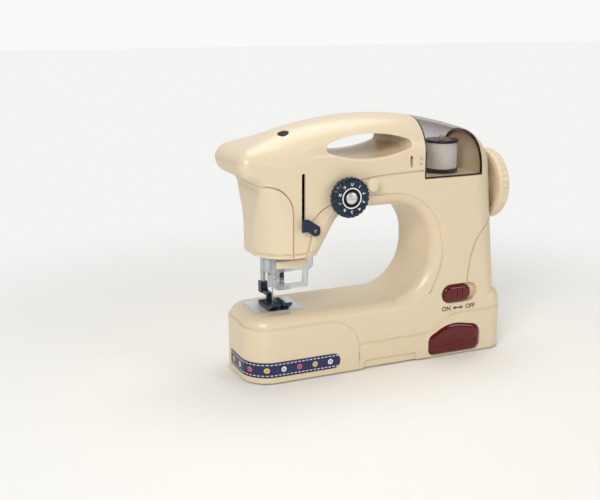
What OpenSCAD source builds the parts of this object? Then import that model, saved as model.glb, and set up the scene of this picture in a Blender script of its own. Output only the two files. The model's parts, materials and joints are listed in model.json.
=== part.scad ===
// Toy sewing machine: moulded casing, thread compartment, drive train and stitching head.
// Lengths are in millimetres. X runs from the head to the handwheel, Y to the rear, Z up.

/* [Casing] */
// Depth of the upper casing from front face to rear face
body_d = 64; // [62:1:70]
// Thickness of the moulded walls
wall = 2.2; // [1.8:0.1:2.6]
// Reach of the base to the left of the machine's middle
base_left = 111; // [108:1:118]
// Reach of the base to the right of the machine's middle
base_right = 115; // [113:1:120]
// Height of the bed above the table
bed_z = 52; // [50:1:56]
// Height of the arm at its highest point
arm_top = 199; // [196:1:206]
// Radius of the long curve along the top of the arm
arm_r = 270; // [240:5:320]
// Reach of the nose to the left
nose_left = 117; // [114:1:122]
// Reach of the head to the left
head_left = 100; // [98:1:104]
// Height of the underside of the head
head_z = 97; // [94:1:100]
// Where the right wall of the throat stands
throat_right = 44; // [40:1:46]
// Height of the throat's ceiling
throat_top = 130; // [127:1:133]
// Where the right side of the column reaches the shoulder
column_right = 103; // [101:1:106]
// Where the right side of the column reaches the base
column_foot = 111; // [109:1:112]

/* [Carrying slot] */
// Length of the carrying slot
handle_w = 71; // [60:1:76]
// Height of the carrying slot
handle_h = 18.4; // [14:0.1:19]
// Middle of the carrying slot
handle_x = -13.5; // [-18:0.5:-8]
// Depth of its middle below the top of the arm
handle_drop = 21.7; // [20:0.1:23]

/* [Thread compartment] */
// Left edge of the lid
lid_left = 34; // [32:1:38]
// Right edge of the lid
lid_right = 88; // [84:1:90]
// Height of the sill that the lid closes on
lid_z = 149; // [147:1:152]
// Radius of the spool's flanges
flange_r = 13.5; // [11:0.5:15]
// Height of the spool
spool_h = 25; // [20:1:28]
// Diameter of the thread that is wound
thread_d = 0.5; // [0.4:0.05:0.55]
// Loops in the outer layer of the winding
thread_loops = 18; // [8:1:18]

/* [Handwheel] */
// Radius of the handwheel
wheel_r = 29; // [24:1:32]
// Width of the handwheel
wheel_w = 10.4; // [8:0.1:14]
// Grip notches around the rim
wheel_notches = 36; // [24:1:44]

/* [Tension dial] */
// Radius of the dial
dial_r = 15.4; // [12:0.1:17]
// Thickness of the dial
dial_t = 6.8; // [5:0.1:9]
// Middle of the dial
dial_x = -33.3; // [-40:0.1:-28]
// Height of its middle over the throat's ceiling
dial_rise = 11; // [9:0.5:14]

/* [Stitching head] */
// Travel of the needle bar
needle_stroke = 22; // [16:1:24]
// Travel of the take-up lever
takeup_stroke = 34; // [24:1:36]
// Lift of the presser foot
presser_lift = 5.2; // [4:0.1:5.6]
// Where the take-up slot stands
slot_x = -68.6; // [-70:0.1:-66]

/* [Switch] */
// Length of the switch pocket
switch_w = 33; // [30:0.5:36]
// Height of the switch pocket
switch_h = 15.4; // [13:0.1:17]
// Middle of the switch pocket
switch_x = 70.5; // [66:0.5:72]
// Height of the pocket's middle
switch_z = 52.8; // [50:0.1:56]
// Length of the knob
knob_w = 26; // [20:0.5:27]

/* [Drawer] */
// Left edge of the drawer
drawer_left = 42.3; // [41:0.1:46]
// Right edge of the drawer
drawer_right = 91; // [86:0.5:94]
// Height of the drawer's top curve above the table
drawer_top = 29; // [26:0.5:30]
// How far the drawer reaches inwards
drawer_depth = 21; // [16:0.5:21]

/* [Drive] */
// Radius of the main shaft and the lower shaft
shaft_r = 2.5; // [2:0.1:3]
// Teeth of the driven gear
gear_teeth = 30; // [24:1:30]
// Teeth of the motor pinion
pinion_teeth = 10; // [10:1:12]
// Module of the gears
gear_module = 1; // [0.9:0.05:1]
// Radius of the motor can
motor_r = 12; // [10:0.5:12]
// Length of the motor can
motor_l = 26; // [22:1:27]

/* [Cells] */
// Radius of one cell
cell_r = 7.1; // [5.2:0.05:7.2]
// Length of one cell
cell_l = 50; // [44:0.5:50]

/* [Spool pin] */
// Radius of the lift-up spool pin
pin_r = 4; // [3:0.1:4.5]
// How far the pin lifts
pin_rise = 26; // [15:1:28]

/* [Socket] */
// Radius of the pedal plug's hole
jack_r = 1.8; // [1.2:0.05:2.5]
// Depth of the pedal plug's hole
jack_l = 12; // [8:0.5:14]

/* [Fits] */
// Clearance between pieces that move past each other
gap = 0.35; // [0.3:0.05:0.5]
// Clearance between a shaft and its bore
run_fit = 0.05; // [0.02:0.01:0.1]

/* [Hidden] */
$fn = 48;
// Overrun of every cut
over = 1;
// Reach of cutting regions beyond the machine
reach = 300;
// Casing
half_d = body_d / 2;
arm_fall = 18.8;
arm_apex_x = -6;
arm_edge = 28;
nose_r = 12;
nose_edge = 8;
nose_dip = 25;
head_edge = 26;
head_trim_r = 30;
shoulder_r = 34;
shoulder_edge = 26;
column_edge = 12;
throat_edge = 10;
throat_r = 34;
throat_left_r = 22;
bed_r = 38;
foot_run = 64;
foot_z = 12;
bury = 0.3;
lip_x = 55.5;
lip = 3;
lip_r = 8;
lip_lean = 60;
neck_r = 8;
head_blend = 26;
trim_r = 16;
foot_h = 1.5;
bed_edge = 9;
base_proud = 0.2;
base_r_left = 20;
base_r_right = 14;
panel_t = 1.2;
panel_z = 48.5;
panel_x = -21;
panel_r = 28;
lower_t = 0.7;
lower_z = 22;
lower_rise = 36;
lower_x0 = 46;
lower_x1 = 64;
lower_r = 16;
arc_turn = 12;
straight = 0.5;
arc_step = 14;
outer_steps = 5;
inner_steps = 3;
base_half = half_d + base_proud;
arm_vertex_z = arm_top + arm_r * (1 / cos(arm_fall) - 1);
nose_tan = nose_r * tan((180 - nose_dip - arm_fall) / 2);
nose_x = -nose_left + nose_r - cos(arm_fall) * nose_tan - sin(arm_fall) * nose_r;
neck_z = slope_z(nose_x) - tan(nose_dip) * (-head_left - nose_x);
head_run = 2 * arm_edge;
throat_left_x = -lip_x + (throat_top - head_z + lip) / tan(lip_lean);
head_cut_x = -(lip_x - lip_r);
column_slope = (column_right - column_foot) / (slope_z(column_right) - foot_z);
// Handle
handle_z = arm_top - handle_drop;
handle_tip_r = 3;
handle_steps = 12;
// Face cover
cover_x = -76.4;
cover_z = neck_z;
cover_r = 22;
seam = 0.15;
// Base plate
plate_t = 2.5;
floor_z = foot_h + plate_t;
plate_half = base_half - wall - seam;
foot_r = 6;
foot_in = 20;
// Shafts
shaft_lift = 0.8;
shaft_z = throat_top + wall + shaft_lift + shaft_r;
lower_shaft_y = 8;
lower_shaft_z = 28;
casing_right = column_foot + column_slope * (shaft_z - foot_z);
wheel_gap = 1.6;
wheel_x = casing_right + wheel_gap;
wheel_hub_r = 9;
wheel_web = 4.5;
wheel_rim = 6;
wheel_bevel = 1.6;
notch_r = 0.9;
hub_depth = 2;
bearing_t = 5;
bearing_half = 6.5;
bearing_left_x = -56;
bearing_right_x = 75;
lower_right_x = 84;
shaft_hole = 1;
// Pulleys and belt
pulley_x = 93;
pulley_w = 6;
pulley_r = 9.5;
pulley_groove = 7.6;
pulley_lip = 0.8;
belt_t = 1.2;
belt_side = 0.5;
belt_steps = 20;
belt_dy = lower_shaft_y;
belt_dz = shaft_z - lower_shaft_z;
belt_run = norm([belt_dy, belt_dz]);
belt_tilt = atan2(belt_dy, belt_dz);
// Gears and motor
gear_t = 5;
gear_x = 70;
pressure = 20;
tip_share = 0.95;
root_share = 1.2;
backlash = 0.16;
flank_steps = 4;
pinion_side = 0.5;
motor_shaft_r = 1;
motor_stub = 4;
motor_gap = 3;
motor_boss_r = 4;
motor_boss_l = 1.5;
gear_reach = gear_module * (gear_teeth + pinion_teeth) / 2;
motor_z = lower_shaft_z + gear_reach;
motor_x1 = gear_x - motor_gap;
motor_x0 = motor_x1 - motor_l;
cradle_t = 3;
cradle_in = 3;
cradle_half = 11;
cradle_up_share = 0.35;
shaft_room = 1.5;
// Stitching head
needle_off = 3.2;
needle_x = -(head_left + lip_x) / 2 - needle_off;
bar_r = 2.5;
crank_r = needle_stroke / 2;
crank_pin_r = 2;
crank_disc_r = crank_r + 3;
crank_t = 4;
crank_pin_l = 2.1;
yoke_half = 4.2;
crank_side = yoke_half + gap + crank_pin_l;
yoke_h = 10;
yoke_side = 3;
yoke_hub = 3;
crank_x0 = needle_x + crank_side;
guide_low = 104;
guide_high = 155;
guide_t = 6;
guide_front = 5;
guide_left = 5;
guide_right_x = -62;
guide_back = 24.5;
frame_plate_t = 2.5;
frame_left_x = -73;
bar_low = 76;
bar_high = 162.5;
clamp_r = 4;
clamp_low = 68;
clamp_h = 10;
clamp_screw_r = 1.3;
clamp_head_r = 2.4;
clamp_head_l = 2.5;
clamp_out = 2;
clamp_screw_share = 0.35;
needle_r = 0.6;
needle_tip = 12;
needle_point = 5;
presser_y = 20;
presser_r = 2;
presser_high = 165;
sole_gap = 0.35;
sole_t = 2.2;
sole_left = 8.5;
sole_front = 13;
sole_back = 9;
sole_hole = 1.6;
toe_rise = 4;
toe_run = 6;
foot_arm_w = 4;
foot_arm_t = 3;
foot_arm_z = 58;
shank_half = 3;
shank_top = 67;
lug_half = 3;
lug_t = 3;
lug_up = 5;
lug_end = 2;
lifter_x = -66.5;
lifter_z = 80;
lifter_y0 = 17;
lifter_y1 = 23;
lifter_pin_r = 1.6;
cam_r = 3.6;
cam_rise = 6;
cam_steps = 9;
cam_in = 0.6;
lifter_l = 22;
lifter_w = 5;
bracket_t = 3;
bracket_half = 5;
bracket_y = 24;
bracket_drop = 4;
opening_x = 6;
opening_front = 6;
opening_back = 26;
bed_hole_r = 7;
plate_z = 0.8;
plate_left = 19;
plate_right = 19;
plate_depth = 16;
plate_slot_w = 3;
plate_slot_l = 9;
looper_t = 3;
looper_side = 3.2;
looper_r = 10;
finger_w = 1.6;
finger_l = 2;
finger_turn = 110;
finger_in = 2.4;
// Take-up lever
slot_w = 3;
slot_low = 116;
stem_w = 2.2;
stem_h = 8;
stem_z = 117;
slot_high = stem_z + stem_h + takeup_stroke + slot_w / 2;
rail_in = 8;
rail_y = -half_d + rail_in;
rail_seat = 0.7;
rail_r = 1.5;
rail_low = 106;
rail_over = 1;
rail_lug = 2;
rail_lug_half = 3;
carriage_half = 3.6;
carriage_h = 10;
blade_y = 3;
blade_t = 2;
blade_hole_r = 1.6;
// Tension dial
dial_z = throat_top + dial_rise;
stud_r = 2;
stud_nut_r = 5;
stud_nut_t = 2.4;
stud_in = 7;
stud_lift = 1.6;
disc_r = 9;
disc_t = 0.7;
dial_back = 2.3;
dial_notches = 24;
dial_notch_r = 0.8;
cap_r = 6.5;
cap_in = 1.6;
cap_out = 0.4;
cap_slot = 0.5;
// Guide post and clip
post_side = 3.9;
post_rise = 8;
post_x = dial_x + dial_r + post_side;
post_z = dial_z + post_rise;
post_r = 3.6;
post_head_r = 5;
post_l = 4.5;
post_head_l = 2.4;
clip_in = 12;
clip_drop = 35.4;
clip_x = lid_left - clip_in;
clip_z = arm_top - clip_drop;
clip_w = 2.4;
clip_h = 9;
clip_t = 0.8;
clip_pin_in = 4;
clip_pin_x = lid_left - clip_pin_in;
clip_pin_dz = 2;
clip_pin_r = 0.6;
clip_pin_l = 1.2;
clip_side = 3;
// Thread compartment
well_t = 2;
well_wall = 2;
spool_off = 4;
spool_x = (lid_left + lid_right) / 2 + spool_off;
spool_y = -5;
spindle_r = 2.4;
spindle_foot_r = 6;
spindle_foot_t = 1;
spindle_over = 4;
flange_t = 2;
spool_core_r = 9;
spool_z = lid_z + spindle_foot_t + gap;
thread_in = 1.5;
thread_core_r = flange_r - thread_in;
thread_seat = 0.16;
thread_sides = 6;
thread_rings = 24;
hinge_r = 1.2;
hinge_pin_r = 0.65;
hinge_pin_l = 3;
hinge_side = 8;
hinge_run = 32;
hinge_lug_w = 4;
hinge_lug_drop = 5;
hinge_y = half_d + gap + hinge_r;
hinge_z = lid_z + gap + hinge_r;
hinge_x0 = lid_left + hinge_side;
hinge_x1 = hinge_x0 + hinge_run;
knuckle_x0 = hinge_x0 + hinge_lug_w + gap;
knuckle_x1 = hinge_x1 - hinge_lug_w - gap;
knuckle_sides = 24;
// Spool pin
pin_x = -76.5;
pin_y = -12;
pin_sink = 0.6;
pin_hold = 5;
pin_l = pin_rise + pin_hold;
pin_tip = 1;
sleeve_t = 1.8;
sleeve_low = 168;
crest_drop = arm_edge - sqrt(arm_edge * arm_edge - pow(max(abs(pin_y) - half_d + arm_edge, 0), 2));
pin_top = crest_z(pin_x) - crest_drop - pin_sink;
// Switch
pocket_deep = 3.6;
pocket_floor = 1.5;
knob_in = 0.5;
knob_out = 2.2;
knob_ribs = 3;
knob_rib_w = 1.4;
knob_rib_step = 5;
knob_rib_h = 9;
knob_rib_out = 0.8;
stem_half_w = 3;
stem_half_h = 2;
switch_travel = switch_w - knob_w - 2 * knob_in;
switch_body_half_w = 9;
switch_body_half_h = 6;
switch_body_t = 6.5;
board_t = 1.6;
board_left = 12;
board_right = 16;
board_low = 14;
board_high = 14;
// Drawer
drawer_low = 2.6;
drawer_left_z = 17.5;
drawer_right_drop = 5.5;
drawer_peak_x = 62;
drawer_peak_r = 35;
drawer_corner_r = 1.5;
drawer_side_r = 9;
drawer_t = 2.4;
tray_in = 3;
tray_wall = 1.6;
tray_h = 14;
pull_z = 10.5;
pull_h = 2.4;
pull_deep = 1;
// Cells
cell_gap = 0.4;
cell_nub_r = 2.6;
cell_nub_l = 1;
cell_x = 40.4;
cell_row = 15;
cell_y = -plate_half + gap + cell_r + cell_row;
cell_z = floor_z + gap + cell_r;
contact_t = 0.5;
contact_half = 5;
cell_pair = 2 * (cell_l + cell_nub_l) + 2 * cell_gap;
door_side = 2;
door_over = 1.8;
door_front = -plate_half;
door_back = cell_y + cell_r + door_over;
door_lip = 1.2;
// Socket
jack_x = 80;
jack_z = 20;
jack_body_r = 4.6;
jack_flange_r = 6;
jack_flange_t = 1;
jack_deep = 15;
// Screws
screw_spots = [[-20, 157.5], [24, 150], [58, 105], [-86, 20], [20, 38]];
boss_r = 4.4;
screw_head_r = 2.7;
screw_head_t = 1.8;
screw_r = 1.2;
screw_in = 2;
screw_tip = 10;
// Strip, guard and lamp
strip_t = 0.35;
strip_low = 6;
strip_high = 18;
strip_x = -38;
strip_back = 12;
strip_r = 5.8;
guard_y = -19;
guard_t = 3;
guard_left = 15;
guard_right = 26;
guard_step_z = 85;
guard_low = 70;
guard_in_left = 6;
guard_in_right = 22;
guard_rim = 4;
guard_r = 3;
guard_bar_left = 5;
guard_bar_right = 20;
guard_bar_low = 87.5;
guard_bar_high = 93;
guard_bar_t = 3;
lamp_x = -92;
lamp_y = 6;
lamp_r = 2.5;
lamp_l = 4;
lamp_rim_r = 3.4;
lamp_rim_t = 1.2;
notch_left = -17;
notch_right = 31;
notch_top = 8;
notch_deep = 1.6;
notch_round = 3;
// Place of the frame: the middle of the machine's bounding box
front_reach = half_d + dial_back + dial_t + cap_out;
rear_reach = max(base_half + panel_t, hinge_y + hinge_r);
shift_y = (front_reach - rear_reach) / 2;
shift_x = (nose_left - wheel_x - wheel_w) / 2;

function slope_z(x) = arm_vertex_z - tan(arm_fall) * abs(x - arm_apex_x);
function crest_z(x) = arm_top - arm_r + sqrt(arm_r * arm_r - pow(x - arm_apex_x, 2));
function unit(v) = v / norm(v);
function right_of(d) = [d.y, -d.x];
function turned(v, a) = [v.x * cos(a) - v.y * sin(a), v.x * sin(a) + v.y * cos(a)];
function arc_steps(a, r) = max(2, ceil(abs(a) / arc_turn), ceil(abs(a) * PI / 180 * r / arc_step));

// One rounded corner of an outline: rows of place, outward direction and edge radius
function corner_rows(a, b, c) =
  let (d1 = unit([b[0] - a[0], b[1] - a[1]]), d2 = unit([c[0] - b[0], c[1] - b[1]]),
       turn = atan2(d1.x * d2.y - d1.y * d2.x, d1 * d2), bend = sign(turn), r = b[2],
       o = right_of(d1), m = [b[0], b[1]] - d1 * r * tan(abs(turn) / 2) - o * r * bend,
       n = arc_steps(turn, r))
  abs(turn) < straight ? [[b[0], b[1], o.x, o.y, b[3]]] : [for (k = [0:n]) let (v = turned(o,
    turn * k / n), p = m + v * r * bend) [p.x, p.y, v.x, v.y, b[3]]];
function outline_rows(c) =
  let (n = len(c)) [for (i = [0:n - 1]) each corner_rows(c[(i + n - 1) % n], c[i], c[(i + 1) % n])];
function outline(c) = [for (q = outline_rows(c)) [q[0], q[1]]];

// Side view of the upper casing, counter-clockwise from the foot: x, z, corner radius, edge radius
body_rows = outline_rows([
  [throat_right - foot_run, foot_z, trim_r, column_edge],
  [column_foot, foot_z, trim_r, column_edge],
  [column_right, slope_z(column_right), shoulder_r, shoulder_edge],
  [arm_apex_x, arm_vertex_z, arm_r, arm_edge],
  [nose_x, slope_z(nose_x), nose_r, nose_edge],
  [-head_left, neck_z, neck_r, nose_edge],
  [-head_left, neck_z - head_blend, neck_r, head_edge],
  [-head_left, head_z - head_run, head_trim_r, head_edge],
  [-lip_x, head_z - head_run, trim_r, throat_edge],
  [-lip_x, head_z - lip, lip_r, throat_edge],
  [throat_left_x, throat_top, throat_left_r, throat_edge],
  [throat_right, throat_top, throat_r, throat_edge],
  [throat_right, bed_z - bury, bed_r, throat_edge],
  [throat_right - foot_run, bed_z - bury, trim_r, throat_edge]]);
// Plan of the base
base_rows = outline_rows([
  [-base_left, -base_half, base_r_left],
  [base_right, -base_half, base_r_right],
  [base_right, base_half, base_r_right],
  [-base_left, base_half, base_r_left]]);

function body_ring(side, a, grow) = [for (q = body_rows)
  let (e = q[4] + grow, s = e * (1 - sin(a)) - grow)
  [q[0] - q[2] * s, side * (half_d + grow - e * (1 - cos(a))), q[1] - q[3] * s]];
function body_rings(grow, n) = concat(
  [for (k = [0:n]) body_ring(1, 90 * k / n, grow)],
  [for (k = [n:-1:0]) body_ring(-1, 90 * k / n, grow)]);
function base_ring(grow, inset, z) = [for (q = base_rows)
  [q[0] - q[2] * (inset - grow), q[1] - q[3] * (inset - grow), z]];
function base_rings(grow, n, low) = let (e = bed_edge + min(grow, 0)) concat(
  [base_ring(grow, 0, low)],
  [for (k = [0:n]) let (a = 90 * k / n) base_ring(grow, e * (1 - cos(a)), bed_z - bed_edge + e * sin(a))]);

// Closed skin over a stack of rings with the same number of points
module skin(rings) {
  n = len(rings[0]);
  m = len(rings);
  polyhedron(
    points = [for (ring = rings) each ring],
    faces = concat(
      [[for (i = [0:n - 1]) i]],
      [for (k = [0:m - 2], i = [0:n - 1]) let (j = (i + 1) % n) each
        [[k * n + i, k * n + n + i, k * n + n + j], [k * n + i, k * n + n + j, k * n + j]]],
      [[for (i = [n - 1:-1:0]) (m - 1) * n + i]]));
}

// A lofted piece is cut as one surface and keeps its own size
module moulded() {
  resize([0, 0, 0])
    children();
}

module block(a, b) {
  translate(a)
    cube(b - a);
}

module rod_x(x0, x1, y, z, r) {
  translate([x0, y, z])
    rotate([0, 90, 0])
      cylinder(h = x1 - x0, r = r);
}

module rod_y(y0, y1, x, z, r) {
  translate([x, y1, z])
    rotate([90, 0, 0])
      cylinder(h = y1 - y0, r = r);
}

module rod_z(z0, z1, x, y, r) {
  translate([x, y, z0])
    cylinder(h = z1 - z0, r = r);
}

// Carries a side view drawn in X and Z along Y
module prism_y(y0, y1) {
  translate([0, y1, 0])
    rotate([90, 0, 0])
      linear_extrude(y1 - y0)
        children();
}

// Carries an end view drawn in Y and Z along X
module prism_x(x0, x1) {
  translate([x0, 0, 0])
    rotate([90, 0, 90])
      linear_extrude(x1 - x0)
        children();
}

// Slot with round ends about a middle, long side along the first axis
module slot_shape(x, z, w, h) {
  r = min(w, h) / 2;
  translate([x, z])
    if (w > h) {
      square([w - h, h], center = true);
      translate([(w - h) / 2, 0])
        circle(r);
      translate([(h - w) / 2, 0])
        circle(r);
    } else {
      square([w, h - w], center = true);
      translate([0, (h - w) / 2])
        circle(r);
      translate([0, (w - h) / 2])
        circle(r);
    }
}

module body_solid(grow, n, trim) {
  difference() {
    skin(body_rings(grow, n));
    block([-reach, -reach, -reach], [head_cut_x, reach, trim]);
  }
}

module zone_left(grow) {
  polygon(outline([
    [-reach, -reach, over],
    [panel_x + grow, -reach, over],
    [panel_x + grow, panel_z + grow, panel_r],
    [-reach, panel_z + grow, over]]));
}

module zone_lower() {
  polygon(outline([
    [panel_x - over, -reach, over],
    [reach, -reach, over],
    [reach, lower_rise, over],
    [lower_x1, lower_rise, lower_r],
    [lower_x0, lower_z, lower_r],
    [panel_x - over, lower_z, over]]));
}

module casing_outer() {
  body_solid(0, outer_steps, head_z);
  skin(base_rings(0, outer_steps, foot_h));
  intersection() {
    skin(base_rings(panel_t, outer_steps, foot_h));
    prism_y(-reach, reach)
      zone_left(0);
  }
  intersection() {
    skin(base_rings(lower_t, outer_steps, foot_h));
    prism_y(-reach, reach)
      zone_lower();
  }
}

module casing_inner() {
  body_solid(-wall, inner_steps, head_z + wall);
  skin(base_rings(-wall, inner_steps, -reach));
}

// Lens of two long arcs with a small round at each tip, as points about its middle
function arc_points(x, z, r, a0, a1,
  n) = [for (k = [0:n]) let (a = a0 + (a1 - a0) * k / n) [x + r * cos(a), z + r * sin(a)]];
function lens(w, h, tip, grow, n) =
  let (a = w / 2 - tip, b = h / 2, r = (a * a + b * b - tip * tip) / (2 * (b - tip)), lean = atan2(a,
    r - b), e = 90 - lean)
  concat(
    arc_points(a, 0, tip + grow, -e, e, n),
    arc_points(0, b - r, r + grow, e, 180 - e, n),
    arc_points(-a, 0, tip + grow, 180 - e, 180 + e, n),
    arc_points(0, r - b, r + grow, 180 + e, 360 - e, n));

module handle_shape(grow) {
  translate([handle_x, handle_z])
    polygon(lens(handle_w, handle_h, handle_tip_r, grow, handle_steps));
}

// Everything of the casing that both shells and the cover share
module casing() {
  difference() {
    union() {
      difference() {
        casing_outer();
        casing_inner();
      }
      intersection() {
        body_solid(0, outer_steps, head_z);
        prism_y(-half_d, half_d)
          handle_shape(wall);
      }
    }
    prism_y(-reach, reach)
      handle_shape(0);
    block([needle_x - opening_x, -opening_front, head_z - over],
      [needle_x + opening_x, opening_back, head_z + wall + over]);
    rod_z(bed_z - bed_edge, bed_z + over, needle_x, 0, bed_hole_r);
    rod_x(casing_right - column_edge, casing_right + column_edge, 0, shaft_z, shaft_r + shaft_hole);
    rod_z(pin_top - arm_edge, reach, pin_x, pin_y, pin_r + gap);
  }
}

module cover_region(grow) {
  prism_y(-reach, reach)
    polygon(outline([
      [-reach, bed_z + over, over],
      [cover_x + grow, bed_z + over, over],
      [cover_x + grow, cover_z + grow, cover_r],
      [-reach, cover_z + grow, over]]));
}

module lid_region(grow) {
  block([lid_left - grow, -reach, lid_z - grow], [lid_right + grow, reach, reach]);
}

module front_half() {
  block([-reach, -reach, -over], [reach, 0, reach]);
}

module rear_half() {
  block([-reach, 0, -over], [reach, reach, reach]);
}

module drawer_shape(grow) {
  polygon(outline([
    [drawer_left - grow, drawer_low - grow, drawer_corner_r],
    [drawer_right + grow, drawer_low - grow, drawer_corner_r],
    [drawer_right + grow, drawer_top - drawer_right_drop + grow, drawer_side_r],
    [drawer_peak_x, drawer_top + grow, drawer_peak_r],
    [drawer_left - grow, drawer_left_z + grow, drawer_corner_r]]));
}

module front_shell() {
  $fn = 24;
  color([0.9, 0.85, 0.74])
    moulded()
      difference() {
        union() {
          intersection() {
            difference() {
              casing();
              cover_region(seam);
              lid_region(0);
            }
            front_half();
          }
          prism_y(-half_d + wall / 2, -half_d + pocket_deep + pocket_floor)
            slot_shape(switch_x, switch_z, switch_w + 2 * wall, switch_h + 2 * wall);
          for (s = screw_spots)
            rod_y(-half_d + wall / 2, 0, s.x, s.y, boss_r);
        }
        prism_y(-half_d - over, -half_d + pocket_deep)
          slot_shape(switch_x, switch_z, switch_w, switch_h);
        prism_y(-half_d, -half_d + wall + pocket_deep + pocket_floor)
          slot_shape(switch_x, switch_z, 2 * stem_half_w + switch_travel + 2 * stem_half_h,
            2 * stem_half_h + 2 * gap);
        prism_y(-half_d - over, -half_d + wall + over)
          slot_shape(slot_x, (slot_low + slot_high) / 2, slot_w, slot_high - slot_low);
        rod_y(-half_d - over, -half_d + throat_edge, dial_x, dial_z, stud_r + run_fit);
        prism_y(-base_half - lower_t - over, -base_half + wall + over)
          drawer_shape(gap);
        prism_y(-half_d - over, -half_d + wall + over)
          slot_shape(clip_x, clip_z, clip_w, clip_h);
        for (dz = [-clip_pin_dz, clip_pin_dz])
          rod_y(-half_d - over, -half_d + wall + over, clip_pin_x, clip_z + dz, clip_pin_r + run_fit);
        prism_y(-base_half - lower_t - over, -base_half - lower_t + notch_deep)
          polygon(outline([
            [notch_left, -over, over / 2],
            [notch_right, -over, over / 2],
            [notch_right, notch_top, notch_round],
            [notch_left, notch_top, notch_round]]));
        for (s = screw_spots)
          rod_y(-screw_tip - over, over, s.x, s.y, screw_r + run_fit);
      }
}

// Lug of the casing beside the lid's knuckle
module hinge_lug(x0, x1) {
  rod_x(x0, x1, hinge_y, hinge_z, hinge_r);
  block([x0, hinge_y - hinge_r, hinge_z - hinge_lug_drop], [x1, hinge_y + hinge_r, hinge_z]);
  block([x0, half_d - wall / 2, hinge_z - hinge_lug_drop], [x1, hinge_y, lid_z - gap]);
}

module rear_shell() {
  $fn = 24;
  color([0.9, 0.85, 0.74])
    moulded()
      difference() {
        union() {
          intersection() {
            difference() {
              casing();
              cover_region(seam);
              lid_region(0);
            }
            rear_half();
          }
          for (s = screw_spots)
            rod_y(0, half_d - wall / 2, s.x, s.y, boss_r);
          for (x = [hinge_x0, hinge_x1 - hinge_lug_w])
            hinge_lug(x, x + hinge_lug_w);
        }
        rod_x(hinge_x0 - over, hinge_x1 + over, hinge_y, hinge_z, hinge_pin_r + run_fit);
        rod_y(base_half - wall - over, base_half + lower_t + over, jack_x, jack_z, jack_body_r + run_fit);
        for (s = screw_spots) {
          rod_y(-over, half_d, s.x, s.y, screw_r + run_fit);
          rod_y(half_d - screw_in - screw_head_t, half_d + panel_t + over, s.x, s.y,
            screw_head_r + run_fit);
        }
      }
}

module face_cover() {
  $fn = 24;
  color([0.88, 0.83, 0.72])
    moulded()
      intersection() {
        casing();
        cover_region(-seam);
      }
}

module base_plate() {
  color([0.8, 0.76, 0.66])
    difference() {
      translate([0, 0, foot_h])
        linear_extrude(plate_t)
          polygon([for (q = base_rows) [q[0] - q[2] * (wall + seam), q[1] - q[3] * (wall + seam)]]);
      block([cell_x - cell_pair - door_side - seam, door_front - over, foot_h - over],
        [cell_x + door_side + seam, door_back + seam, foot_h + plate_t / 2]);
      block([cell_x - cell_pair, door_front + door_lip, foot_h],
        [cell_x, door_back - door_lip, floor_z + over]);
    }
}

module battery_door() {
  color([0.8, 0.76, 0.66])
    block([cell_x - cell_pair - door_side, -plate_half + seam, foot_h],
      [cell_x + door_side, door_back, foot_h + plate_t / 2]);
}

module batteries() {
  color([0.3, 0.3, 0.32])
    for (row = [0, 1], col = [0, 1]) {
      x1 = cell_x - cell_gap - col * (cell_l + cell_nub_l + cell_gap / 2);
      y = cell_y - row * cell_row;
      rod_x(x1 - cell_l, x1, y, cell_z, cell_r);
      rod_x(x1 - cell_l - cell_nub_l, x1 - cell_l, y, cell_z, cell_nub_r);
    }
}

module battery_contacts() {
  color([0.75, 0.76, 0.78])
    for (row = [0, 1], x = [cell_x + contact_t, cell_x - cell_pair - contact_t]) {
      y = cell_y - row * cell_row;
      block([x - contact_t / 2, y - contact_half, floor_z],
        [x + contact_t / 2, y + contact_half, cell_z + contact_half]);
    }
}

module rubber_feet() {
  color([0.2, 0.2, 0.2])
    for (x = [-base_left + foot_in, base_right - foot_in], y = [-base_half + foot_in / 2 + wall,
      base_half - foot_in / 2 - wall])
      rod_z(0, foot_h, x, y, foot_r);
}

module case_screws() {
  color([0.7, 0.7, 0.72])
    for (s = screw_spots) {
      rod_y(half_d - screw_in - screw_head_t, half_d - screw_in, s.x, s.y, screw_head_r);
      rod_y(-screw_tip, half_d - screw_in - screw_head_t, s.x, s.y, screw_r);
    }
}

module needle_plate() {
  color([0.78, 0.79, 0.8])
    difference() {
      block([needle_x - plate_left, -plate_depth, bed_z],
        [needle_x + plate_right, plate_depth, bed_z + plate_z]);
      translate([0, 0, bed_z - over])
        linear_extrude(plate_z + 2 * over) {
          translate([needle_x, 0])
            circle(plate_slot_w / 2);
          slot_shape(needle_x - plate_slot_w * 2, 0, plate_slot_w / 2, plate_slot_l);
          slot_shape(needle_x + plate_slot_w * 2, 0, plate_slot_w / 2, plate_slot_l);
        }
    }
}

module finger_guard() {
  color([0.75, 0.82, 0.86, 0.6])
    prism_y(guard_y, guard_y + guard_t)
      difference() {
        polygon(outline([
          [needle_x - guard_in_left, guard_low, guard_r],
          [needle_x + guard_in_right, guard_low, guard_r],
          [needle_x + guard_in_right, guard_step_z, guard_r],
          [needle_x + guard_right, guard_step_z, guard_r],
          [needle_x + guard_right, head_z, over],
          [needle_x - guard_left, head_z, over],
          [needle_x - guard_left, guard_step_z, guard_r],
          [needle_x - guard_in_left, guard_step_z, guard_r]]));
        polygon(outline([
          [needle_x - guard_in_left + guard_rim, guard_low + guard_rim, over],
          [needle_x + guard_in_right - guard_rim, guard_low + guard_rim, over],
          [needle_x + guard_in_right - guard_rim, guard_step_z - over, over],
          [needle_x - guard_in_left + guard_rim, guard_step_z - over, over]]));
      }
}

module guard_clamp() {
  color([0.92, 0.88, 0.78])
    block([needle_x - guard_bar_left, guard_y - guard_bar_t, guard_bar_low],
      [needle_x + guard_bar_right, guard_y, guard_bar_high]);
}

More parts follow.
